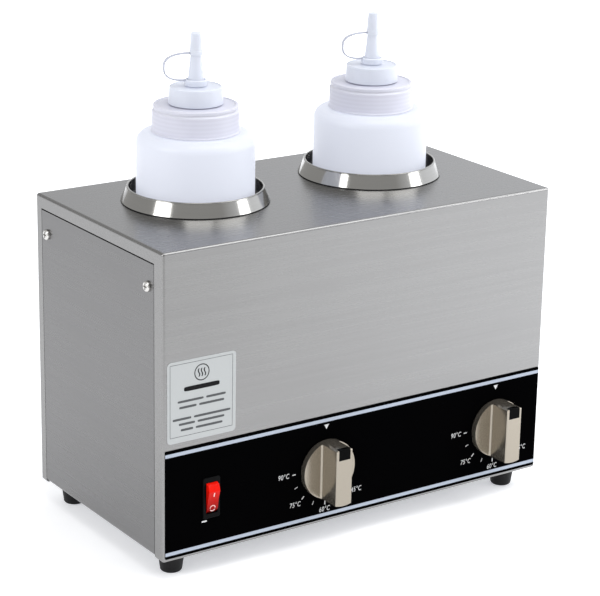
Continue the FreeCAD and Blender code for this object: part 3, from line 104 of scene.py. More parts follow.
# %% Set the camera
AZIMUTH, ELEVATION, ROLL = -34.509, 17.974, 1.0747  # degrees
LENS, SENSOR = 130.25, 36.0  # millimetres
CAMERA_PLACE = (-0.8843, -1.28325, 0.6677)
FAR_CLIP = 60.0


def camera_axes(azimuth, elevation, roll):
    """Right, up and back of a camera that looks at the object from azimuth (0 is from the front,
    negative is from the left) and elevation, turned about its own line of sight by roll."""
    a, e, r = (math.radians(x) for x in (azimuth, elevation, roll))
    back = Vector((math.sin(a) * math.cos(e), -math.cos(a) * math.cos(e), math.sin(e)))
    level = Vector((math.cos(a), math.sin(a), 0))
    upright = back.cross(level)
    right = math.cos(r) * level + math.sin(r) * upright
    return right, math.cos(r) * upright - math.sin(r) * level, back


camera_data = bpy.data.cameras.new("camera")
camera_data.lens = LENS
camera_data.sensor_width = SENSOR
camera_data.clip_end = FAR_CLIP
camera = bpy.data.objects.new("camera", camera_data)
bpy.context.scene.collection.objects.link(camera)
right, up, back = camera_axes(AZIMUTH, ELEVATION, ROLL)
turn = Matrix((right, up, back)).transposed().to_4x4()
camera.matrix_world = Matrix.Translation(CAMERA_PLACE) @ turn
bpy.context.scene.camera = camera
print("camera", [round(c, 3) for c in camera.location], "lens", camera_data.lens)

# %% [markdown]
# ## Shader arithmetic
# A finish is a sum of small patterns, and sums read best as sums. `Value` wraps one socket of a
# shader tree and turns each Python operator into one Math node, so a formula for a finish is
# written as it would be on paper.

# %% Wrap a socket
class Value:
    """One output socket; + - * / and comparisons on it add Math nodes to its tree."""

    def __init__(self, socket):
        self.socket = socket
        self.tree = socket.id_data

    def math(self, operation, first, second=None):
        step = self.tree.nodes.new("ShaderNodeMath")
        step.operation = operation
        for entry, term in zip(step.inputs, (first, second)):
            if isinstance(term, Value):
                self.tree.links.new(term.socket, entry)
            elif term is not None:
                entry.default_value = term
        return Value(step.outputs[0])

    def __add__(self, other):
        return self.math("ADD", self, other)

    def __sub__(self, other):
        return self.math("SUBTRACT", self, other)

    def __rsub__(self, other):
        return self.math("SUBTRACT", other, self)

    def __mul__(self, other):
        return self.math("MULTIPLY", self, other)

    def __truediv__(self, other):
        return self.math("DIVIDE", self, other)

    def __gt__(self, other):
        return self.math("GREATER_THAN", self, other)

    def __lt__(self, other):
        return self.math("LESS_THAN", self, other)

    def sine(self):
        return self.math("SINE", self)

    def clamped(self):
        """The same value held between 0 and 1."""
        limited = self.math("ADD", self, 0.0)
        limited.socket.node.use_clamp = True
        return limited

    __radd__ = __add__
    __rmul__ = __mul__


print("right-hand operators:", [name for name in vars(Value) if name.startswith("__r")])

# %% [markdown]
# ## A material that is filled in steps
# A finish has one Principled shader. What never changes is a number on the shader's own socket, and
# what varies over the surface is linked into it by `feed`. `node` adds any other node: its settings
# first, then the values or links of its inputs. Its outputs come back ready for sums.

# %% Hold a material
class Node:
    """A node whose outputs are read as Values, by name or by number."""

    def __init__(self, made):
        self.made = made

    def __getitem__(self, name):
        return Value(self.made.outputs[name])


class Finish:
    """A material with one Principled shader, whose constants are set on its own sockets."""

    def __init__(self, name, **constants):
        self.material = bpy.data.materials.new(name)
        self.material.use_nodes = True
        self.tree = self.material.node_tree
        self.shader = self.tree.nodes["Principled BSDF"]
        for socket, value in constants.items():
            self.shader.inputs[socket.replace("_", " ")].default_value = value

    def node(self, kind, settings=None, values=None):
        made = self.tree.nodes.new(kind)
        for name, setting in (settings or {}).items():
            if name == "stops":
                ramp = made.color_ramp.elements
                for _ in setting[2:]:
                    ramp.new(0.5)
                for stop, (position, colour) in zip(ramp, setting):
                    stop.position = position
                    stop.color = (*colour, 1.0)
            else:
                setattr(made, name, setting)
        for name, value in (values or {}).items():
            if isinstance(value, Value):
                self.tree.links.new(value.socket, made.inputs[name])
            else:
                made.inputs[name].default_value = value
        return Node(made)

    def feed(self, **values):
        for name, value in values.items():
            self.tree.links.new(value.socket, self.shader.inputs[name.replace("_", " ")])


print(len(bpy.data.materials), "materials came with the frame")

# %% [markdown]
# ## Patterns that many finishes share
# Every pattern is read from Object coordinates, in metres, so a scale of 1000 means one wave each
# millimetre. `noise` stretches them first: a small number along the grain and a large one across
# it gives the long fine lines that an abrasive belt leaves. `tint` turns a pattern into a colour
# between two shades of one colour, and `relief` turns it into a tilted normal.

# %% Write the shared patterns
def place(finish, scale=(1.0, 1.0, 1.0), centre=(0.0, 0.0, 0.0)):
    """Object coordinates measured from centre and stretched by scale: (p - centre) * scale."""
    where = finish.node("ShaderNodeTexCoord")["Object"]
    shift = {0: where, 1: centre}
    moved = finish.node("ShaderNodeVectorMath", {"operation": "SUBTRACT"}, shift)["Vector"]
    grow = {0: moved, 1: scale}
    return finish.node("ShaderNodeVectorMath", {"operation": "MULTIPLY"}, grow)["Vector"]


def noise(finish, scale, detail=2.0, roughness=0.5, centre=(0.0, 0.0, 0.0)):
    """Smooth random values from 0 to 1, with one wave per 1 / scale metres on each axis."""
    values = {
        "Vector": place(finish, scale, centre),
        "Scale": 1.0, "Detail": detail, "Roughness": roughness,
    }
    return finish.node("ShaderNodeTexNoise", {}, values)["Fac"]


def separate(finish, vector):
    """X, Y and Z of a vector, to be read by name."""
    return finish.node("ShaderNodeSeparateXYZ", {}, {"Vector": vector})


def shade_of(colour, share):
    """A colour with every channel multiplied by share, and none above 1."""
    return tuple(min(1.0, c * share) for c in colour)


def tint(finish, amount, low, high):
    """A colour between low and high, by amount from 0 to 1."""
    values = {0: amount, 6: (*low, 1.0), 7: (*high, 1.0)}
    return finish.node("ShaderNodeMix", {"data_type": "RGBA"}, values)[2]


def relief(finish, height, strength, distance):
    """The surface's normal tilted by the slope of height, where distance is its rise in metres."""
    values = {"Height": height, "Strength": strength, "Distance": distance}
    return finish.node("ShaderNodeBump", {}, values)["Normal"]


print("patterns ready")

# %% [markdown]
# ## Brushed stainless steel
# The casing is folded from sheet that an abrasive belt has brushed lengthways. A belt leaves
# scratches a few centimetres long and a fraction of a millimetre wide, so the noise is stretched
# over a hundred times along the sheet. The same lines shade the colour a little, roughen it and
# tilt the normal, which spreads highlights across the grain. Broad soft blotches are the marks of
# handling.

# %% Brush the sheet metal
COARSER = 3.7  # how much wider the deep scratches are than the fine ones
SMUDGE = (9.0, 9.0, 9.0)


def belt_brushed(name, grain, colour=(0.275, 0.274, 0.273), roughness=0.27):
    """Steel with scratches along one axis: grain is the number of waves per metre on X, Y, Z."""
    steel = Finish(name, Metallic=1.0, Specular_IOR_Level=0.5)
    fine = noise(steel, grain, detail=3.0, roughness=0.6)
    coarse = noise(steel, tuple(g / COARSER for g in grain), detail=2.0)
    smudge = noise(steel, SMUDGE, detail=3.0, roughness=0.6)
    lines = fine * 0.6 + coarse * 0.4
    shade = lines * 0.7 + smudge * 0.3
    steel.feed(
        Base_Color=tint(steel, shade, shade_of(colour, 0.84), shade_of(colour, 1.16)),
        Roughness=lines * 0.10 + smudge * 0.05 + (roughness - 0.075),
        Normal=relief(steel, lines, 0.25, 0.00004),
    )
    return steel


LENGTHWAYS = (7.0, 900.0, 900.0)
DEPTHWAYS = (900.0, 7.0, 900.0)
wrapper_steel = belt_brushed("wrapper_steel", LENGTHWAYS)
# The base tray and tabs are the same stainless steel with its colour painted darker, a painted
# shade for the panels that catch less light.
tray_steel_painted_shade = belt_brushed("tray_steel_painted_shade", DEPTHWAYS, colour=(0.195, 0.194, 0.195))
print("brushed", wrapper_steel.material.name, "and", tray_steel_painted_shade.material.name)

# %% [markdown]
# ## Turned steel
# The collars are spun and then polished on a lathe, so their scratches are rings. A ring is a
# place where the distance from the axis and the height stay the same, so the noise reads just
# those two numbers, and each collar needs its own axis.

# %% Turn the collars and pots
# The pots are turned steel painted near black: a painted shade for the deep gap between each bottle
# and its collar.
COLLAR_COLOUR, POT_SHADE_COLOUR = (0.38, 0.376, 0.362), (0.055, 0.055, 0.06)


def lathe_turned(name, centre, colour, roughness, rings=1400.0, depth=0.00003):
    """Metal with fine rings about the upright axis through centre."""
    metal = Finish(name, Metallic=1.0)
    here = place(metal, (1.0, 1.0, 1.0), centre)
    level = {0: here, 1: (1.0, 1.0, 0.0)}
    flat = metal.node("ShaderNodeVectorMath", {"operation": "MULTIPLY"}, level)["Vector"]
    reach = metal.node("ShaderNodeVectorMath", {"operation": "LENGTH"}, {0: flat})["Value"]
    two = {"X": reach * rings, "Y": separate(metal, here)["Z"] * rings}
    ring = metal.node("ShaderNodeCombineXYZ", {}, two)["Vector"]
    values = {"Vector": ring, "Scale": 1.0, "Detail": 3.0, "Roughness": 0.6}
    lines = metal.node("ShaderNodeTexNoise", {}, values)["Fac"]
    cloud = noise(metal, (30.0, 30.0, 30.0), detail=2.0)
    shade = lines * 0.7 + cloud * 0.3
    metal.feed(
        Base_Color=tint(metal, shade, shade_of(colour, 0.86), shade_of(colour, 1.14)),
        Roughness=lines * 0.08 + (roughness - 0.04),
        Normal=relief(metal, lines, 0.3, depth),
    )
    return metal


collar_steel = {s: lathe_turned(f"collar_steel_{s}", axis[s], COLLAR_COLOUR, 0.12) for s in SIDES}
pot_steel_painted_shade = {s: lathe_turned(f"pot_steel_painted_shade_{s}", axis[s], POT_SHADE_COLOUR, 0.38) for s in SIDES}
print("turned", len(collar_steel) + len(pot_steel_painted_shade), "finishes")

# %% [markdown]
# ## Plain metals and moulded parts
# Screws, terminals and brackets are small, so one recipe with a colour, a roughness and a faint
# grain does for them all. Moulded parts have a fine even texture from the tool that made them:
# a speckle a fraction of a millimetre across, with a little variation of gloss.

# %% Write the two recipes
def plain_metal(name, colour, roughness, speckle=2200.0):
    """Metal with an even fine speckle and cloudy patches of gloss."""
    metal = Finish(name, Metallic=1.0)
    grain = noise(metal, (speckle,) * 3, detail=2.0)
    cloud = noise(metal, (120.0,) * 3, detail=2.0)
    metal.feed(
        Base_Color=tint(metal, grain * 0.5 + cloud * 0.5, shade_of(colour, 0.85), colour),
        Roughness=cloud * 0.12 + (roughness - 0.06),
        Normal=relief(metal, grain, 0.15, 0.00002),
    )
    return metal


def moulded(name, colour, roughness, speckle=1800.0, depth=0.00002, **constants):
    """Plastic, rubber or ceramic with a tool texture of speckle waves per metre."""
    part = Finish(name, **constants)
    grain = noise(part, (speckle,) * 3, detail=3.0, roughness=0.6)
    cloud = noise(part, (60.0,) * 3, detail=2.0)
    part.feed(
        Base_Color=tint(part, cloud * 0.6 + grain * 0.4, shade_of(colour, 0.88), colour),
        Roughness=grain * 0.08 + cloud * 0.06 + (roughness - 0.07),
        Normal=relief(part, grain, 0.2, depth),
    )
    return part


print("recipes ready: plain_metal and moulded")

# %% [markdown]
# ## The small finishes
# Copper and brass get their own warm colours, and steel parts differ only in how dull they are.
# Rubber and the switch box reflect very little, so their specular level is low. Wire covers are
# coloured by what they carry: red for live, blue for neutral and green for earth.

# %% Mix the small finishes
screw_steel = plain_metal("screw_steel", (0.72, 0.71, 0.69), 0.24)
heater_steel = plain_metal("heater_steel", (0.52, 0.51, 0.50), 0.35)
copper = plain_metal("copper", (0.80, 0.42, 0.26), 0.28)
brass = plain_metal("contact_brass", (0.78, 0.60, 0.30), 0.25)
rubber = moulded("foot_rubber", (0.006, 0.006, 0.0065), 0.5, speckle=1500.0, depth=0.00004,
                 Specular_IOR_Level=0.2)
bakelite = moulded("thermostat_body", (0.05, 0.045, 0.04), 0.4)
ceramic = moulded("ceramic", (0.80, 0.78, 0.72), 0.35)
foam = moulded("seal_foam", (0.82, 0.83, 0.84), 0.8, speckle=1200.0, depth=0.00008)
switch_black = moulded("switch_black", (0.003, 0.003, 0.0035), 0.28, Specular_IOR_Level=0.05)
inlet_black = moulded("inlet_black", (0.02, 0.02, 0.021), 0.42, speckle=1400.0)
live_cover = moulded("live_cover", (0.55, 0.03, 0.02), 0.4)
neutral_cover = moulded("neutral_cover", (0.03, 0.09, 0.42), 0.4)
earth_cover = moulded("earth_cover", (0.10, 0.38, 0.06), 0.4)
print("mixed the small finishes")

# %% [markdown]
# ## Woven glass sleeve
# The sleeve round each heater is needled glass fibre, off-white, with threads that cross at a
# right angle. Two sets of waves, one upright and one level, make the cloth, and noise bends them.

# %% Weave the sleeve
def woven(name, colour, pitch):
    """Cloth whose threads are pitch metres apart, up the sleeve and around it."""
    cloth = Finish(name, Roughness=0.9)
    bend = noise(cloth, (180.0,) * 3) * 0.6
    here = separate(cloth, place(cloth))
    turns = 2 * math.pi / pitch
    warp = ((here["X"] + here["Y"]) * turns + bend).sine()
    weft = (here["Z"] * turns + bend).sine()
    threads = warp * weft * 0.5 + 0.5
    cloth.feed(
        Base_Color=tint(cloth, threads, shade_of(colour, 0.7), colour),
        Normal=relief(cloth, threads, 0.5, 0.0003),
    )
    return cloth


glass_fibre = woven("glass_fibre", (0.80, 0.78, 0.68), 0.0016)
print("wove", glass_fibre.material.name)

# %% [markdown]
# ## Glossy controls
# The overlay is a black film with an anti-glare skin, so it is smooth and yet hardly mirrors the
# room. The knobs have a pale gold plated skin that mirrors the film around them. The rocker is a
# clear red moulding over a lamp: it is bright where the lamp sits behind it and dim lower down.

# %% Gloss the controls
def glossy(name, colour, roughness, ripple=0.00001, **constants):
    """A smooth skin with a ripple a few millimetres long and a trace of fine haze."""
    skin = Finish(name, **constants)
    swell = noise(skin, (260.0,) * 3, detail=1.0)
    haze = noise(skin, (1500.0,) * 3, detail=2.0)
    skin.feed(
        Base_Color=tint(skin, haze, shade_of(colour, 0.94), colour),
        Roughness=haze * 0.05 + swell * 0.03 + (roughness - 0.03),
        Normal=relief(skin, swell, 0.2, ripple),
    )
    return skin


overlay_film = glossy("overlay_film", (0.0012, 0.0012, 0.0014), 0.16, Specular_IOR_Level=0.0)
knob_plate = glossy("knob_plate", (0.37, 0.335, 0.28), 0.20, Metallic=0.85)
pointer_film = glossy("pointer_film", (0.002, 0.002, 0.002), 0.14, Specular_IOR_Level=0.03)


def lamp_lit(name, low, high, dim, bright):
    """A clear moulding whose colour rises from dim at height low to bright at height high."""
    lens = glossy(name, bright, 0.2, Specular_IOR_Level=0.12)
    height = separate(lens, place(lens))["Z"]
    cloud = noise(lens, (300.0,) * 3, detail=2.0)
    climb = ((height - low) / (high - low)).clamped()
    lens.feed(Base_Color=tint(lens, climb * 0.85 + cloud * 0.15, dim, bright))
    return lens


rocker_low, rocker_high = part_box("switch_rocker")
LAMP_BELOW_TOP = 4 * MM
rocker_clear = lamp_lit(
    "rocker_clear", rocker_low.z, rocker_high.z - LAMP_BELOW_TOP,
    (0.11, 0.0015, 0.0015), (0.80, 0.008, 0.002),
)
print("glossed the controls")

# %% [markdown]
# ## Milky bottles
# The bottles and caps are low-density polyethylene, which light enters and scatters in. A wall of
# one millimetre looks nearly opaque and slightly blue. Subsurface scattering gives that soft look
# without a true volume. Light that enters one side of a bottle also leaves by the other, and an
# even emission stands in for it. On the bottles it is strong, more than half of what is seen, and
# their base colour is darker to make room for it; on the caps it is slight. It keeps the bottles as
# evenly white as in daylight, but it also flattens their shading, and it would show in a dark room.
# The lids' screw threads show through as faint level bands.

# %% Fill the plastic
EVEN = (1.0, 1.0, 1.0)  # red, green and blue light scatter equally far
GLOW_COLOUR = (0.93, 0.96, 1.07, 1.0)
POLYETHYLENE_IOR = 1.5


def milky(name, colour, roughness=0.42, scale=0.004, glow=0.0):
    """Soft waxy plastic with faint flow marks, which glows with light that entered elsewhere."""
    wax = Finish(
        name, Subsurface_Weight=0.5, Subsurface_Scale=scale, Subsurface_Radius=EVEN,
        IOR=POLYETHYLENE_IOR, Emission_Color=GLOW_COLOUR, Emission_Strength=glow,
    )
    flow = noise(wax, (22.0, 22.0, 6.0), detail=2.0)
    skin = noise(wax, (1300.0,) * 3, detail=2.0)
    wax.feed(
        Base_Color=tint(wax, flow, shade_of(colour, 0.96), colour),
        Roughness=flow * 0.06 + skin * 0.06 + (roughness - 0.06),
        Normal=relief(wax, skin, 0.12, 0.00002),
    )
    return wax


def threaded(name, colour, low, high, pitch, contrast):
    """Waxy plastic with level bands of pitch metres between two heights, faded at both ends."""
    wax = Finish(
        name, Subsurface_Weight=0.4, Subsurface_Scale=0.003, Subsurface_Radius=EVEN,
        IOR=POLYETHYLENE_IOR,
    )
    height = separate(wax, place(wax))["Z"]
    band = (height * (2 * math.pi / pitch)).sine()
    inside = (height > low) * (height < high)
    skin = noise(wax, (1300.0,) * 3, detail=2.0)
    amount = (band * 0.5 + 0.5) * inside
    wax.feed(
        Base_Color=tint(wax, amount, colour, shade_of(colour, 1 - contrast)),
        Roughness=skin * 0.06 + amount * 0.05 + 0.36,
        Normal=relief(wax, amount * 0.3 + skin * 0.1, 0.15, 0.00006),
    )
    return wax


bottle_wax = milky("bottle_wax", (0.36, 0.377, 0.42), glow=0.44)
cap_wax = milky("cap_wax", (0.57, 0.60, 0.68), roughness=0.38, glow=0.10)
strap_wax = milky("strap_wax", (0.50, 0.52, 0.60), roughness=0.38, scale=0.001)
lid_low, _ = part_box("bottle_lid_left")
THREAD_BOTTOM, THREAD_TOP, THREAD_PITCH = 2 * MM, 15 * MM, 3 * MM
lid_wax = threaded(
    "lid_wax", (0.62, 0.625, 0.71), lid_low.z + THREAD_BOTTOM, lid_low.z + THREAD_TOP,
    THREAD_PITCH, contrast=0.05,
)
print("plastic ready")

# %% [markdown]
# ## Dressing the model
# The model's own pieces keep their shapes and only change their material. One dictionary says
# which finish goes with which piece, and a piece of a pair is looked up without its side.

# %% Give every piece its finish
finishes = {
    "outer_wrapper": wrapper_steel, "base_tray": tray_steel_painted_shade, "retaining_tabs": tray_steel_painted_shade,
    "side_screws": screw_steel, "foot_screws": screw_steel, "well_screws": screw_steel,
    "heater_clamp_screws": screw_steel, "thermostat_screws": screw_steel,
    "inlet_screws": screw_steel, "terminal_screws": brass, "earth_stud": brass,
    "inlet_pins": brass, "bulb_clips": heater_steel, "control_overlay": overlay_film,
    "switch_housing": switch_black, "switch_rocker": rocker_clear, "mains_inlet": inlet_black,
    "terminal_block": ceramic, "foot_front": rubber, "foot_back": rubber,
    "band_heater": heater_steel, "pot_sleeve": glass_fibre, "thermostat": bakelite,
    "knob_shaft": screw_steel, "sensor_bulb": copper, "knob": knob_plate,
    "knob_pointer": pointer_film, "bottle": bottle_wax, "bottle_lid": lid_wax,
    "nozzle_cap": cap_wax, "lid_seal": foam, "cap_seal": foam, "tether_ring": cap_wax,
    "tip_cap": cap_wax, "tether_strap": strap_wax, "live_wires": live_cover,
    "neutral_wires": neutral_cover, "earth_wire": earth_cover,
}
for side in SIDES:
    finishes[f"well_ring_{side}"] = collar_steel[side]
    finishes[f"well_pot_{side}"] = pot_steel_painted_shade[side]


finishes["info_plate"] = glossy(
    "plate_film", (0.475, 0.495, 0.50), 0.30, Specular_IOR_Level=0.2,
)


def dress(node, finish):
    for slot in node.material_slots:
        slot.material = finish.material


for name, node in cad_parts.items():
    pair = name.removesuffix("_left").removesuffix("_right")
    dress(node, finishes.get(name) or finishes[pair])
print("dressed", len(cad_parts), "pieces")

# %% [markdown]
# ## Meshes from whole arrays
# Every new piece is a grid of points: one direction runs round a section or up a profile, and the
# other runs round an axis or along a path. numpy works out all the points at once, and one function
# joins neighbours with four-sided faces. Where a row shrinks to a point, merging closes the pole.

# %% Turn a grid into a piece
def grid_faces(rows, columns, wrap_rows, wrap_columns):
    """Corner numbers of every cell of a rows x columns grid, joined across the wrapped edges."""
    r = np.arange(rows if wrap_rows else rows - 1)[:, None]
    c = np.arange(columns if wrap_columns else columns - 1)[None, :]
    below, beside = (r + 1) % rows, (c + 1) % columns
    corners = (r * columns + c, r * columns + beside, below * columns + beside, below * columns + c)
    return np.stack([corner.reshape(-1) for corner in np.broadcast_arrays(*corners)], axis=1)


def piece(name, grids, finish, body=None, smooth=True):
    """One mesh object from several (points, wrap_rows, wrap_columns) grids, with closed poles."""
    points, faces, base = [], [], 0
    for grid, wrap_rows, wrap_columns in grids:
        rows, columns, _ = grid.shape
        points.append(grid.reshape(-1, 3))
        faces.append(grid_faces(rows, columns, wrap_rows, wrap_columns) + base)
        base += rows * columns
    mesh = bpy.data.meshes.new(name)
    mesh.from_pydata(np.concatenate(points), [], np.concatenate(faces).tolist())
    shell = bmesh.new()
    shell.from_mesh(mesh)
    bmesh.ops.remove_doubles(shell, verts=shell.verts, dist=1e-7)
    bmesh.ops.recalc_face_normals(shell, faces=shell.faces)
    shell.to_mesh(mesh)
    shell.free()
    mesh.polygons.foreach_set("use_smooth", np.full(len(mesh.polygons), smooth))
    made = bpy.data.objects.new(name, mesh)
    bpy.context.scene.collection.objects.link(made)
    mesh.materials.append(finish.material)
    if body:
        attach(made, body)
    return made


print("a 2 x 2 grid, wrapped both ways, has", len(grid_faces(2, 2, True, True)), "faces")

# %% [markdown]
# ## The tether strap
# Each tip cap hangs on a flat strap that bows out to the side. It is a rectangle with rounded
# corners carried along a C. The C is a superellipse: the upper end starts at the cap, the lower
# end stops at the ring round the nozzle, and a power above 2 makes it fuller than a circle. The
# cap pulls off and the ring stays; the strap's ends sit at the cap's edge and at the ring's.

# %% Bow the strap
STRAP_HEADING = math.radians(165.0)
STRAP_REACH, CAP_EDGE, RING_OVERLAP = 24.1 * MM, 4.7 * MM, 0.3 * MM
HALF_WIDE, HALF_THICK = 1.3 * MM, 0.6 * MM
BOW_POWER, SECTION_POWER = 2.6, 5.0
BOW_STEPS, SECTION_STEPS = 61, 24


def superellipse(angle, power):
    """Cosine and sine of angle, each raised to 2 / power and keeping its sign."""
    c, s = np.cos(angle), np.sin(angle)
    return np.sign(c) * np.abs(c) ** (2 / power), np.sign(s) * np.abs(s) ** (2 / power)


def strap_grid(side):
    """Rows along the C, columns round the section, closed to a point at both ends.

    With t from 0 to 1 the path is r = start + (reach - start) cos(pi (1/2 - t)) outwards and
    z = middle + half the height * sin(pi (1/2 - t)), each raised to 2 / power. The start slides
    from the cap's edge to the ring's."""
    low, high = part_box(f"tether_strap_{side}")
    ring_low, ring_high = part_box(f"tether_ring_{side}")
    centre = np.array(middle(f"tether_ring_{side}"))
    out = np.array([math.cos(STRAP_HEADING), math.sin(STRAP_HEADING), 0.0])
    across = np.array([-out[1], out[0], 0.0])
    top, bottom = high.z - HALF_THICK, low.z + HALF_THICK
    ring_edge = (ring_high.x - ring_low.x) / 2 - RING_OVERLAP
    along = np.linspace(0.0, 1.0, BOW_STEPS)
    c, s = superellipse(math.pi * (0.5 - along), BOW_POWER)
    start = CAP_EDGE + (ring_edge - CAP_EDGE) * along
    r = start + (STRAP_REACH - start) * c
    z = (top + bottom) / 2 + (top - bottom) / 2 * s
    path = centre[None, :] * [1, 1, 0] + r[:, None] * out + z[:, None] * [0, 0, 1]
    run = np.gradient(path, axis=0)
    run /= np.linalg.norm(run, axis=1)[:, None]
    thick = np.cross(run, across)
    round_section = np.linspace(0.0, 2 * math.pi, SECTION_STEPS, endpoint=False)
    wide, tall = superellipse(round_section, SECTION_POWER)
    sideways = wide[None, :, None] * HALF_WIDE * across
    body = path[:, None, :] + sideways + tall[None, :, None] * HALF_THICK * thick[:, None, :]
    ends = [np.repeat(path[i][None, None, :], len(wide), axis=1) for i in (0, -1)]
    return np.concatenate([ends[0], body, ends[1]])


for side in SIDES:
    strap = piece(f"strap_{side}", [(strap_grid(side), False, True)], strap_wax)
    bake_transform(strap)
    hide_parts(f"tether_strap_{side}")
    print(strap.name, len(strap.data.polygons), "faces")

# %% [markdown]
# ## Printed marks
# Everything printed on the panel is ink a few hundredths of a millimetre thick. Each mark is a thin
# closed plate: a grid runs from the middle of its face out to the outline, over the edge and back
# to the middle underneath. A bar and a triangle only differ in the outline. A circle line is a
# ring instead, with a small flat section carried round.

# %% Cut thin plates
INK = 0.05 * MM
SQUARE_ENDED = 60.0  # a superellipse power that leaves no visible rounding
HOOP_STEPS = 48


def ink(name, colour, roughness, **constants):
    return moulded(name, colour, roughness, speckle=900.0, **constants)


silver_ink = ink("silver_ink", (0.43, 0.48, 0.57), 0.32, Specular_IOR_Level=0.2)
white_ink = ink("white_ink", (0.66, 0.67, 0.68), 0.4)
grey_ink = ink("grey_ink", (0.10, 0.105, 0.11), 0.5, Specular_IOR_Level=0.1)
black_ink = ink("black_ink", (0.006, 0.006, 0.007), 0.45, Specular_IOR_Level=0.1)
lamp_ink = ink("lamp_ink", (0.90, 0.62, 0.60), 0.35)


def plate(outline, centre=(0.0, 0.0), tilt=0.0, y=0.0):
    """A closed plate INK thick in front of y: outline is (x, z), turned anticlockwise by tilt."""
    c, s = math.cos(tilt), math.sin(tilt)
    edge = np.asarray(outline, float) @ np.array([[c, s], [-s, c]]) + np.asarray(centre, float)
    hub = np.broadcast_to(edge.mean(axis=0), edge.shape)
    rows = np.stack([hub, edge, edge, hub])
    depth = np.broadcast_to(np.array([y - INK, y - INK, y, y])[:, None], rows.shape[:2])
    return np.stack([rows[:, :, 0], depth, rows[:, :, 1]], axis=2), False, True


def bar(length, width, power=7.0):
    """The outline of a bar with rounded corners: a superellipse stretched to length by width."""
    c, s = superellipse(np.linspace(0.0, 2 * math.pi, 32, endpoint=False), power)
    return np.stack([c * length / 2, s * width / 2], axis=1)


def hoop(radius, width, centre=(0.0, 0.0), y=0.0):
    """A flat ring: a rectangle width by INK carried round a circle of radius."""
    angle = np.linspace(0.0, 2 * math.pi, HOOP_STEPS, endpoint=False)
    reach = radius + width / 2 * np.array([-1.0, 1.0, 1.0, -1.0])[:, None]
    depth = np.broadcast_to(np.array([y - INK, y - INK, y, y])[:, None], (4, HOOP_STEPS))
    x, z = centre[0] + reach * np.cos(angle), centre[1] + reach * np.sin(angle)
    return np.stack([x, depth, z], axis=2), True, True


print("inks", silver_ink.material.name, white_ink.material.name, grey_ink.material.name)

# %% [markdown]
# ## The panel's lines and dials
# Two silver lines frame the panel. Round each knob are seven strokes, one for each 22.5 degrees
# from the low to the high setting, and every other one is numbered. A small triangle above the
# knob shows where the knob's own mark points when it is off.

# %% Print the panel
CASING = "casing"
EDGE_STRIP, LINE_WIDTH = 2.25 * MM, 2.65 * MM
line = bar(overlay_high.x - overlay_low.x, LINE_WIDTH, SQUARE_ENDED)
line_x, inset = (overlay_low.x + overlay_high.x) / 2, EDGE_STRIP + LINE_WIDTH / 2
line_grids = [
    plate(line, (line_x, z), 0.0, overlay_y)
    for z in (overlay_high.z - inset, overlay_low.z + inset)
]
piece("panel_lines", line_grids, silver_ink, CASING, smooth=False)

NUMBERED = {135.0: "45\u00b0C", 180.0: "60\u00b0C", 225.0: "75\u00b0C", 270.0: "90\u00b0C"}
TICK_RADIUS, TICK_LENGTH, TICK_STEP = 28.0 * MM, 3.0 * MM, 22.5
BOLD_TICK, FINE_TICK = 0.75 * MM, 0.45 * MM
ARROW_TIP, ARROW_BASE, ARROW_HALF = 73.8 * MM, 77.4 * MM, 2.1 * MM
DASH_SIZE, DASH_PLACE = (4.2 * MM, 1.2 * MM), (-5.4 * MM, 24.9 * MM)


def around(side, clockwise, radius):
    """The point on the panel at radius from a knob's middle, clockwise degrees from its top."""
    a = math.radians(clockwise)
    return knob[side].x + radius * math.sin(a), knob[side].z + radius * math.cos(a)


def dial_marks(side):
    """The seven strokes of a dial, long sides along the radius, and the triangle above it."""
    grids = []
    for clockwise in np.arange(min(NUMBERED), max(NUMBERED) + 1.0, TICK_STEP):
        stroke = bar(TICK_LENGTH, BOLD_TICK if clockwise in NUMBERED else FINE_TICK)
        turned = math.radians(90.0 - clockwise)
        grids.append(plate(stroke, around(side, clockwise, TICK_RADIUS), turned, overlay_y))
    tip, base = casing_low.z + ARROW_TIP, casing_low.z + ARROW_BASE
    arrow = [(0.0, tip), (ARROW_HALF, base), (0.0, base), (-ARROW_HALF, base)]
    grids.append(plate(arrow, (knob[side].x, 0.0), 0.0, overlay_y))
    return grids


for side in SIDES:
    grids = dial_marks(side)
    made = piece(f"dial_marks_{side}", grids, white_ink, CASING, smooth=False)
    print(made.name, len(made.data.polygons), "faces")
switch_middle = middle("switch_housing")
dash_centre = (switch_middle.x + DASH_PLACE[0], casing_low.z + DASH_PLACE[1])
dash = plate(bar(*DASH_SIZE), dash_centre, 0.0, overlay_y)
piece("switch_dash", [dash], white_ink, CASING, smooth=False)

# %% [markdown]
# ## Dial numbers
# Figures come from Blender's own font. A text object becomes a mesh first, and only then do its
# points move: they are fitted to a box of the printed size, and the flat text, which faces up,
# is turned to face the front by writing its height into Z and its thickness into -Y.

# %% Print the numbers
FIGURE_SIZE = (9.4 * MM, 4.0 * MM)
LETTER_GAP, SLANT = 1.12, 0.12


def figures(text, size, centre):
    """Points and faces of text fitted to size (width, height) about centre (x, z) on the panel."""
    curve = bpy.data.curves.new("figures", "FONT")
    curve.body, curve.extrude, curve.resolution_u = text, 0.01, 4
    curve.space_character, curve.shear = LETTER_GAP, SLANT
    holder = bpy.data.objects.new("figures", curve)
    mesh = bpy.data.meshes.new_from_object(holder)
    flat = np.empty(len(mesh.vertices) * 3, np.float32)
    mesh.vertices.foreach_get("co", flat)
    flat = flat.reshape(-1, 3)
    low, high = flat.min(axis=0), flat.max(axis=0)
    unit = (flat - (low + high) / 2) / (high - low)
    x, z = centre[0] + unit[:, 0] * size[0], centre[1] + unit[:, 1] * size[1]
    y = overlay_y - INK / 2 - unit[:, 2] * INK
    faces = [tuple(polygon.vertices) for polygon in mesh.polygons]
    bpy.data.objects.remove(holder)
    bpy.data.meshes.remove(mesh)
    return np.stack([x, y, z], axis=1), faces


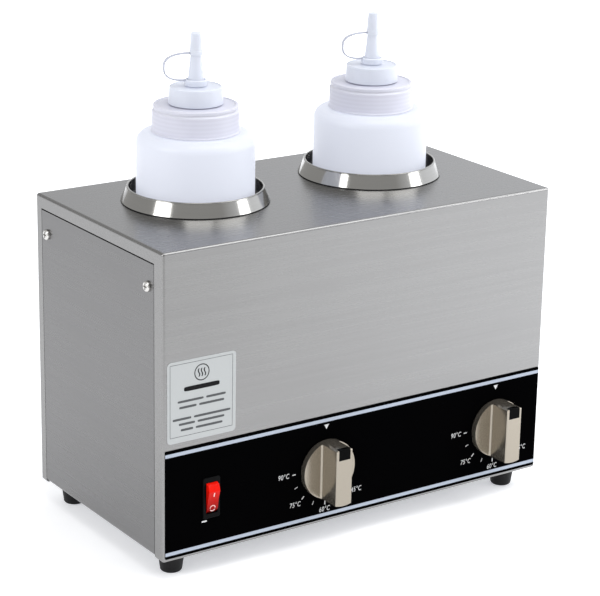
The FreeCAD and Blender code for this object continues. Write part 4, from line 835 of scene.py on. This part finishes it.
def sheet_of(name, parts, finish, body):
    """One object from several (points, faces), with its doubles merged and faces outwards."""
    whole = bmesh.new()
    for points, faces in parts:
        mesh = bpy.data.meshes.new("part")
        mesh.from_pydata(points, [], faces)
        whole.from_mesh(mesh)
        bpy.data.meshes.remove(mesh)
    bmesh.ops.remove_doubles(whole, verts=whole.verts, dist=1e-7)
    bmesh.ops.recalc_face_normals(whole, faces=whole.faces)
    mesh = bpy.data.meshes.new(name)
    whole.to_mesh(mesh)
    whole.free()
    made = bpy.data.objects.new(name, mesh)
    bpy.context.scene.collection.objects.link(made)
    mesh.materials.append(finish.material)
    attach(made, body)
    return made


LABEL_PLACES = {  # centre of each number from the knob's middle, right and up, in millimetres
    135.0: (28.1, -23.1), 180.0: (-0.1, -32.7), 225.0: (-26.4, -23.7), 270.0: (-36.8, 0.2),
}
for side in SIDES:
    parts = []
    for clockwise, text in NUMBERED.items():
        x, z = LABEL_PLACES[clockwise]
        parts.append(figures(text, FIGURE_SIZE, (knob[side].x + x * MM, knob[side].z + z * MM)))
    made = sheet_of(f"dial_numbers_{side}", parts, white_ink, CASING)
    print(made.name, len(made.data.polygons), "faces")

# %% [markdown]
# ## The information plate
# The plate carries a thin frame line, a round sign with three waves for heat, and grey bars where
# its lines of print would be. It is kept free of words, so any wording can be put in their place.

# %% Print the plate
FRAME_LINE = 0.3 * MM
FRAME_INSET = {"left": 2.3, "right": 2.8, "top": 2.3, "bottom": 4.4}  # millimetres
SIGN_DOWN, SIGN_RADIUS, SIGN_LINE = 11.0, 5.8 * MM, 0.7 * MM
WAVE_PLACES, WAVE_SIZE = (-2.4, 0.0, 2.4), (6.0 * MM, 0.55 * MM, 0.9 * MM)
TITLE_DOWN, TITLE_SIZE = 21.3, (29.0 * MM, 3.4 * MM)


def on_plate(x, down):
    """A point on the plate, x from its middle and down from its top edge, in millimetres."""
    return (plate_low.x + plate_high.x) / 2 + x * MM, plate_high.z - down * MM


def wave(centre, height, sway, width):
    """A wavy upright stroke: x = sway * sin(2 pi t), z = height * (t - 1/2), given a width."""
    t = np.linspace(0.0, 1.0, 25)[:, None]
    line = np.concatenate([sway * np.sin(2 * math.pi * t), height * (t - 0.5)], axis=1)
    line += np.asarray(centre)
    section = np.array([[-1.0, 1.0], [1.0, 1.0], [1.0, 0.0], [-1.0, 0.0]])
    x = line[:, None, 0] + section[None, :, 0] * (width / 2)
    y = plate_y - section[None, :, 1] * INK + 0 * x
    z = line[:, None, 1] + 0 * x
    body = np.stack([x, y, z], axis=2)
    ends = [np.repeat(body[i].mean(axis=0)[None, None, :], 4, axis=1) for i in (0, -1)]
    return np.concatenate([ends[0], body, ends[1]]), False, True


wide, tall = (plate_high.x - plate_low.x) / MM, (plate_high.z - plate_low.z) / MM
frame_wide = wide - FRAME_INSET["left"] - FRAME_INSET["right"]
frame_tall = tall - FRAME_INSET["top"] - FRAME_INSET["bottom"]
frame_x = (FRAME_INSET["left"] - FRAME_INSET["right"]) / 2
frame_down = FRAME_INSET["top"] + frame_tall / 2
level_line = bar(frame_wide * MM, FRAME_LINE, SQUARE_ENDED)
upright_line = bar(frame_tall * MM, FRAME_LINE, SQUARE_ENDED)
frame_line = []
for end in (-0.5, 0.5):
    place_on_edge = on_plate(frame_x, frame_down + end * frame_tall)
    frame_line.append(plate(level_line, place_on_edge, 0.0, plate_y))
for end in (-0.5, 0.5):
    place_on_edge = on_plate(frame_x + end * frame_wide, frame_down)
    frame_line.append(plate(upright_line, place_on_edge, math.pi / 2, plate_y))
piece("plate_frame", frame_line, grey_ink, CASING, smooth=False)

sign = on_plate(0.0, SIGN_DOWN)
sign_grids = [hoop(SIGN_RADIUS, SIGN_LINE, sign, plate_y)]
sign_grids += [wave((sign[0] + x * MM, sign[1]), *WAVE_SIZE) for x in WAVE_PLACES]
sign_grids.append(plate(bar(*TITLE_SIZE), on_plate(0.0, TITLE_DOWN), 0.0, plate_y))
piece("plate_sign", sign_grids, black_ink, CASING, smooth=False)
print("frame", round(frame_wide, 1), "x", round(frame_tall, 1), "mm")

# %% [markdown]
# ## Bars for lines of print
# Below the sign, each line of print is a row of bars, one bar for each group of words. Every row
# is centred on the plate, and only the lengths of its bars are listed.

# %% Lay out the bars
PRINT_LINES = (  # how far down each line is, and the lengths of its bars, in millimetres
    (30.0, (21.0, 16.0)), (34.4, (14.0, 20.5)), (42.8, (15.0, 30.0)), (46.7, (13.0, 22.0)),
    (51.0, (10.0, 22.0)),
)


def print_line(down, words, gap=2.2, height=1.7):
    """Bars side by side with a gap, centred on the plate, where a line of print would be."""
    left = -(sum(words) + gap * (len(words) - 1)) / 2
    starts = left + np.concatenate([[0.0], np.cumsum(np.array(words[:-1]) + gap)])
    return [
        plate(bar(word * MM, height * MM), on_plate(start + word / 2, down), 0.0, plate_y)
        for start, word in zip(starts, words)
    ]


bars = [grid for down, words in PRINT_LINES for grid in print_line(down, words)]
made = piece("plate_bars", bars, grey_ink, CASING, smooth=False)
print(made.name, len(bars), "bars")

# %% [markdown]
# ## The rocker's marks
# The rocker has a bar for on above and a ring for off below, filled with pale paint. Its two faces
# lean, so each mark is laid in the plane of its own face. That plane is the average of the model's
# triangles that look forward between two heights, weighted by their areas.

# %% Paint the rocker
ON_SIZE, ON_UP = (0.9 * MM, 3.6 * MM), 3.6 * MM
OFF_RADIUS, OFF_LINE, OFF_HEIGHT = 2.1 * MM, 0.6 * MM, 34.9 * MM
UPPER_FACE, LOWER_FACE = (2 * MM, 6.5 * MM), (-9 * MM, -2 * MM)  # from the rocker's middle


def facing_plane(node, low, high):
    """Middle and unit normal of a node's triangles that look forward between two heights."""
    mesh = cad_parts[node].data
    count = len(mesh.polygons)
    normal, centre, area = np.empty(count * 3), np.empty(count * 3), np.empty(count)
    mesh.polygons.foreach_get("normal", normal)
    mesh.polygons.foreach_get("center", centre)
    mesh.polygons.foreach_get("area", area)
    normal, centre = normal.reshape(-1, 3), centre.reshape(-1, 3)
    chosen = (normal[:, 1] < -0.7) & (centre[:, 2] > low) & (centre[:, 2] < high)
    weight = (area * chosen)[:, None] / (area * chosen).sum()
    facing = (normal * weight).sum(axis=0)
    return (centre * weight).sum(axis=0), facing / np.linalg.norm(facing)


def laid_on(grid, origin, facing):
    """A plate drawn about the origin, laid in the plane through origin that faces along facing."""
    points, wrap_rows, wrap_columns = grid
    across = np.array([1.0, 0.0, 0.0])
    upward = np.cross(facing, across)
    x, y, z = points[:, :, :1], points[:, :, 1:2], points[:, :, 2:]
    return origin + x * across + z * upward - y * facing, wrap_rows, wrap_columns


rocker_middle = (rocker_low.z + rocker_high.z) / 2
upper, lower = (
    facing_plane("switch_rocker", rocker_middle + start, rocker_middle + end)
    for start, end in (UPPER_FACE, LOWER_FACE)
)
print("the rocker's faces lean", [round(float(facing[2]), 3) for _, facing in (upper, lower)])


def at_height(plane, z):
    """The point of a plane at the switch's middle and a height: y follows from the normal."""
    point, facing = plane
    y = point[1] - facing[2] / facing[1] * (z - point[2])
    return np.array([switch_middle.x, y, z])


on_place = at_height(upper, rocker_middle + ON_UP)
off_place = at_height(lower, casing_low.z + OFF_HEIGHT)
on_mark = laid_on(plate(bar(*ON_SIZE)), on_place, upper[1])
off_mark = laid_on(hoop(OFF_RADIUS, OFF_LINE), off_place, lower[1])
piece("rocker_marks", [on_mark, off_mark], lamp_ink, "switch_rocker", smooth=False)

# %% [markdown]
# ## Floor and sky
# The floor is white paper that runs out of sight. Steel shows its surroundings rather than itself,
# so the front panel's look is made in front of it: the paper glows a little near the object and
# more on the right, and the sky is grey on the left and rises to white on the right. That gives
# the panel its slow change from dark to light. A world's Object coordinates are directions.

# %% Lay the floor and the sky
PAPER_GLOW, SKY_STRENGTH, FLOOR_HALF = 1.0, 1.4, 30
SKY_LEFT, SKY_RIGHT = (0.40, 0.397, 0.393), (0.97, 0.99, 1.03)
BLACK, COOL_WHITE = (0.0, 0.0, 0.0), (1.0, 1.02, 1.07)
NEAR_SHARE, POOL_SHARE = 0.40, 0.60


class Sky(Finish):
    """A world whose background is fed by nodes, which read directions in place of points."""

    def __init__(self, name, strength):
        self.world = bpy.data.worlds.new(name)
        self.world.use_nodes = True
        self.tree = self.world.node_tree
        self.shader = self.tree.nodes["Background"]
        self.shader.inputs["Strength"].default_value = strength


paper = moulded(
    "floor_paper", (0.90, 0.90, 0.90), 0.8, speckle=40.0, Emission_Strength=PAPER_GLOW,
)
spot = separate(paper, place(paper))
near = 1 - (spot["Y"] * -3.0 - 1.15).clamped()
pool = ((spot["X"] - 0.1) * 2.0).clamped()
glow = near * NEAR_SHARE + pool * POOL_SHARE
paper.feed(Emission_Color=tint(paper, glow, BLACK, COOL_WHITE))
ends = (-FLOOR_HALF, FLOOR_HALF)
floor_grid = np.array([[(x, y, 0.0) for x in ends] for y in ends], float)
floor = piece("floor", [(floor_grid, False, False)], paper)
sky = Sky("studio", SKY_STRENGTH)
side_light = (separate(sky, place(sky))["X"] * 1.3 - 0.26).clamped()
sky.feed(Color=tint(sky, side_light, SKY_LEFT, SKY_RIGHT))
bpy.context.scene.world = sky.world
print("sky", sky.world.name, "over", floor.name)

# %% [markdown]
# ## Soft boxes
# A soft box is a large lamp with soft-edged shadows. The two side boxes are mirrored in the
# collars as bright bars. The box overhead on the right whitens the front fold, and the one almost
# straight above fills the tops of the bottles without showing in the collars.

# %% Light the scene
SOFT_BOXES = {  # direction from the object, distance and size in metres, power in watts
    "box_left": ((-0.909, -0.034, 0.415), 2.2, 0.9, 14),
    "box_right": ((0.746, -0.596, 0.298), 2.2, 0.7, 9),
    "box_over": ((0.45, -0.35, 0.8), 2.0, 1.2, 12),
    "box_fill": ((-0.15, -0.30, 0.94), 2.4, 1.3, 14),
}


def soft_box(name, towards, distance, size, power):
    """A square area light that faces the object from a direction."""
    lamp = bpy.data.lights.new(name, "AREA")
    lamp.size, lamp.energy = size, power
    holder = bpy.data.objects.new(name, lamp)
    bpy.context.scene.collection.objects.link(holder)
    target = (cad_low + cad_high) / 2
    stand = target + Vector(towards).normalized() * distance
    aim = (target - stand).to_track_quat("-Z", "Y").to_matrix().to_4x4()
    holder.matrix_world = Matrix.Translation(stand) @ aim


for name, settings in SOFT_BOXES.items():
    soft_box(name, *settings)
bpy.context.scene.view_settings.view_transform = "Standard"
print("lit by", len(SOFT_BOXES), "soft boxes")

# %% [markdown]
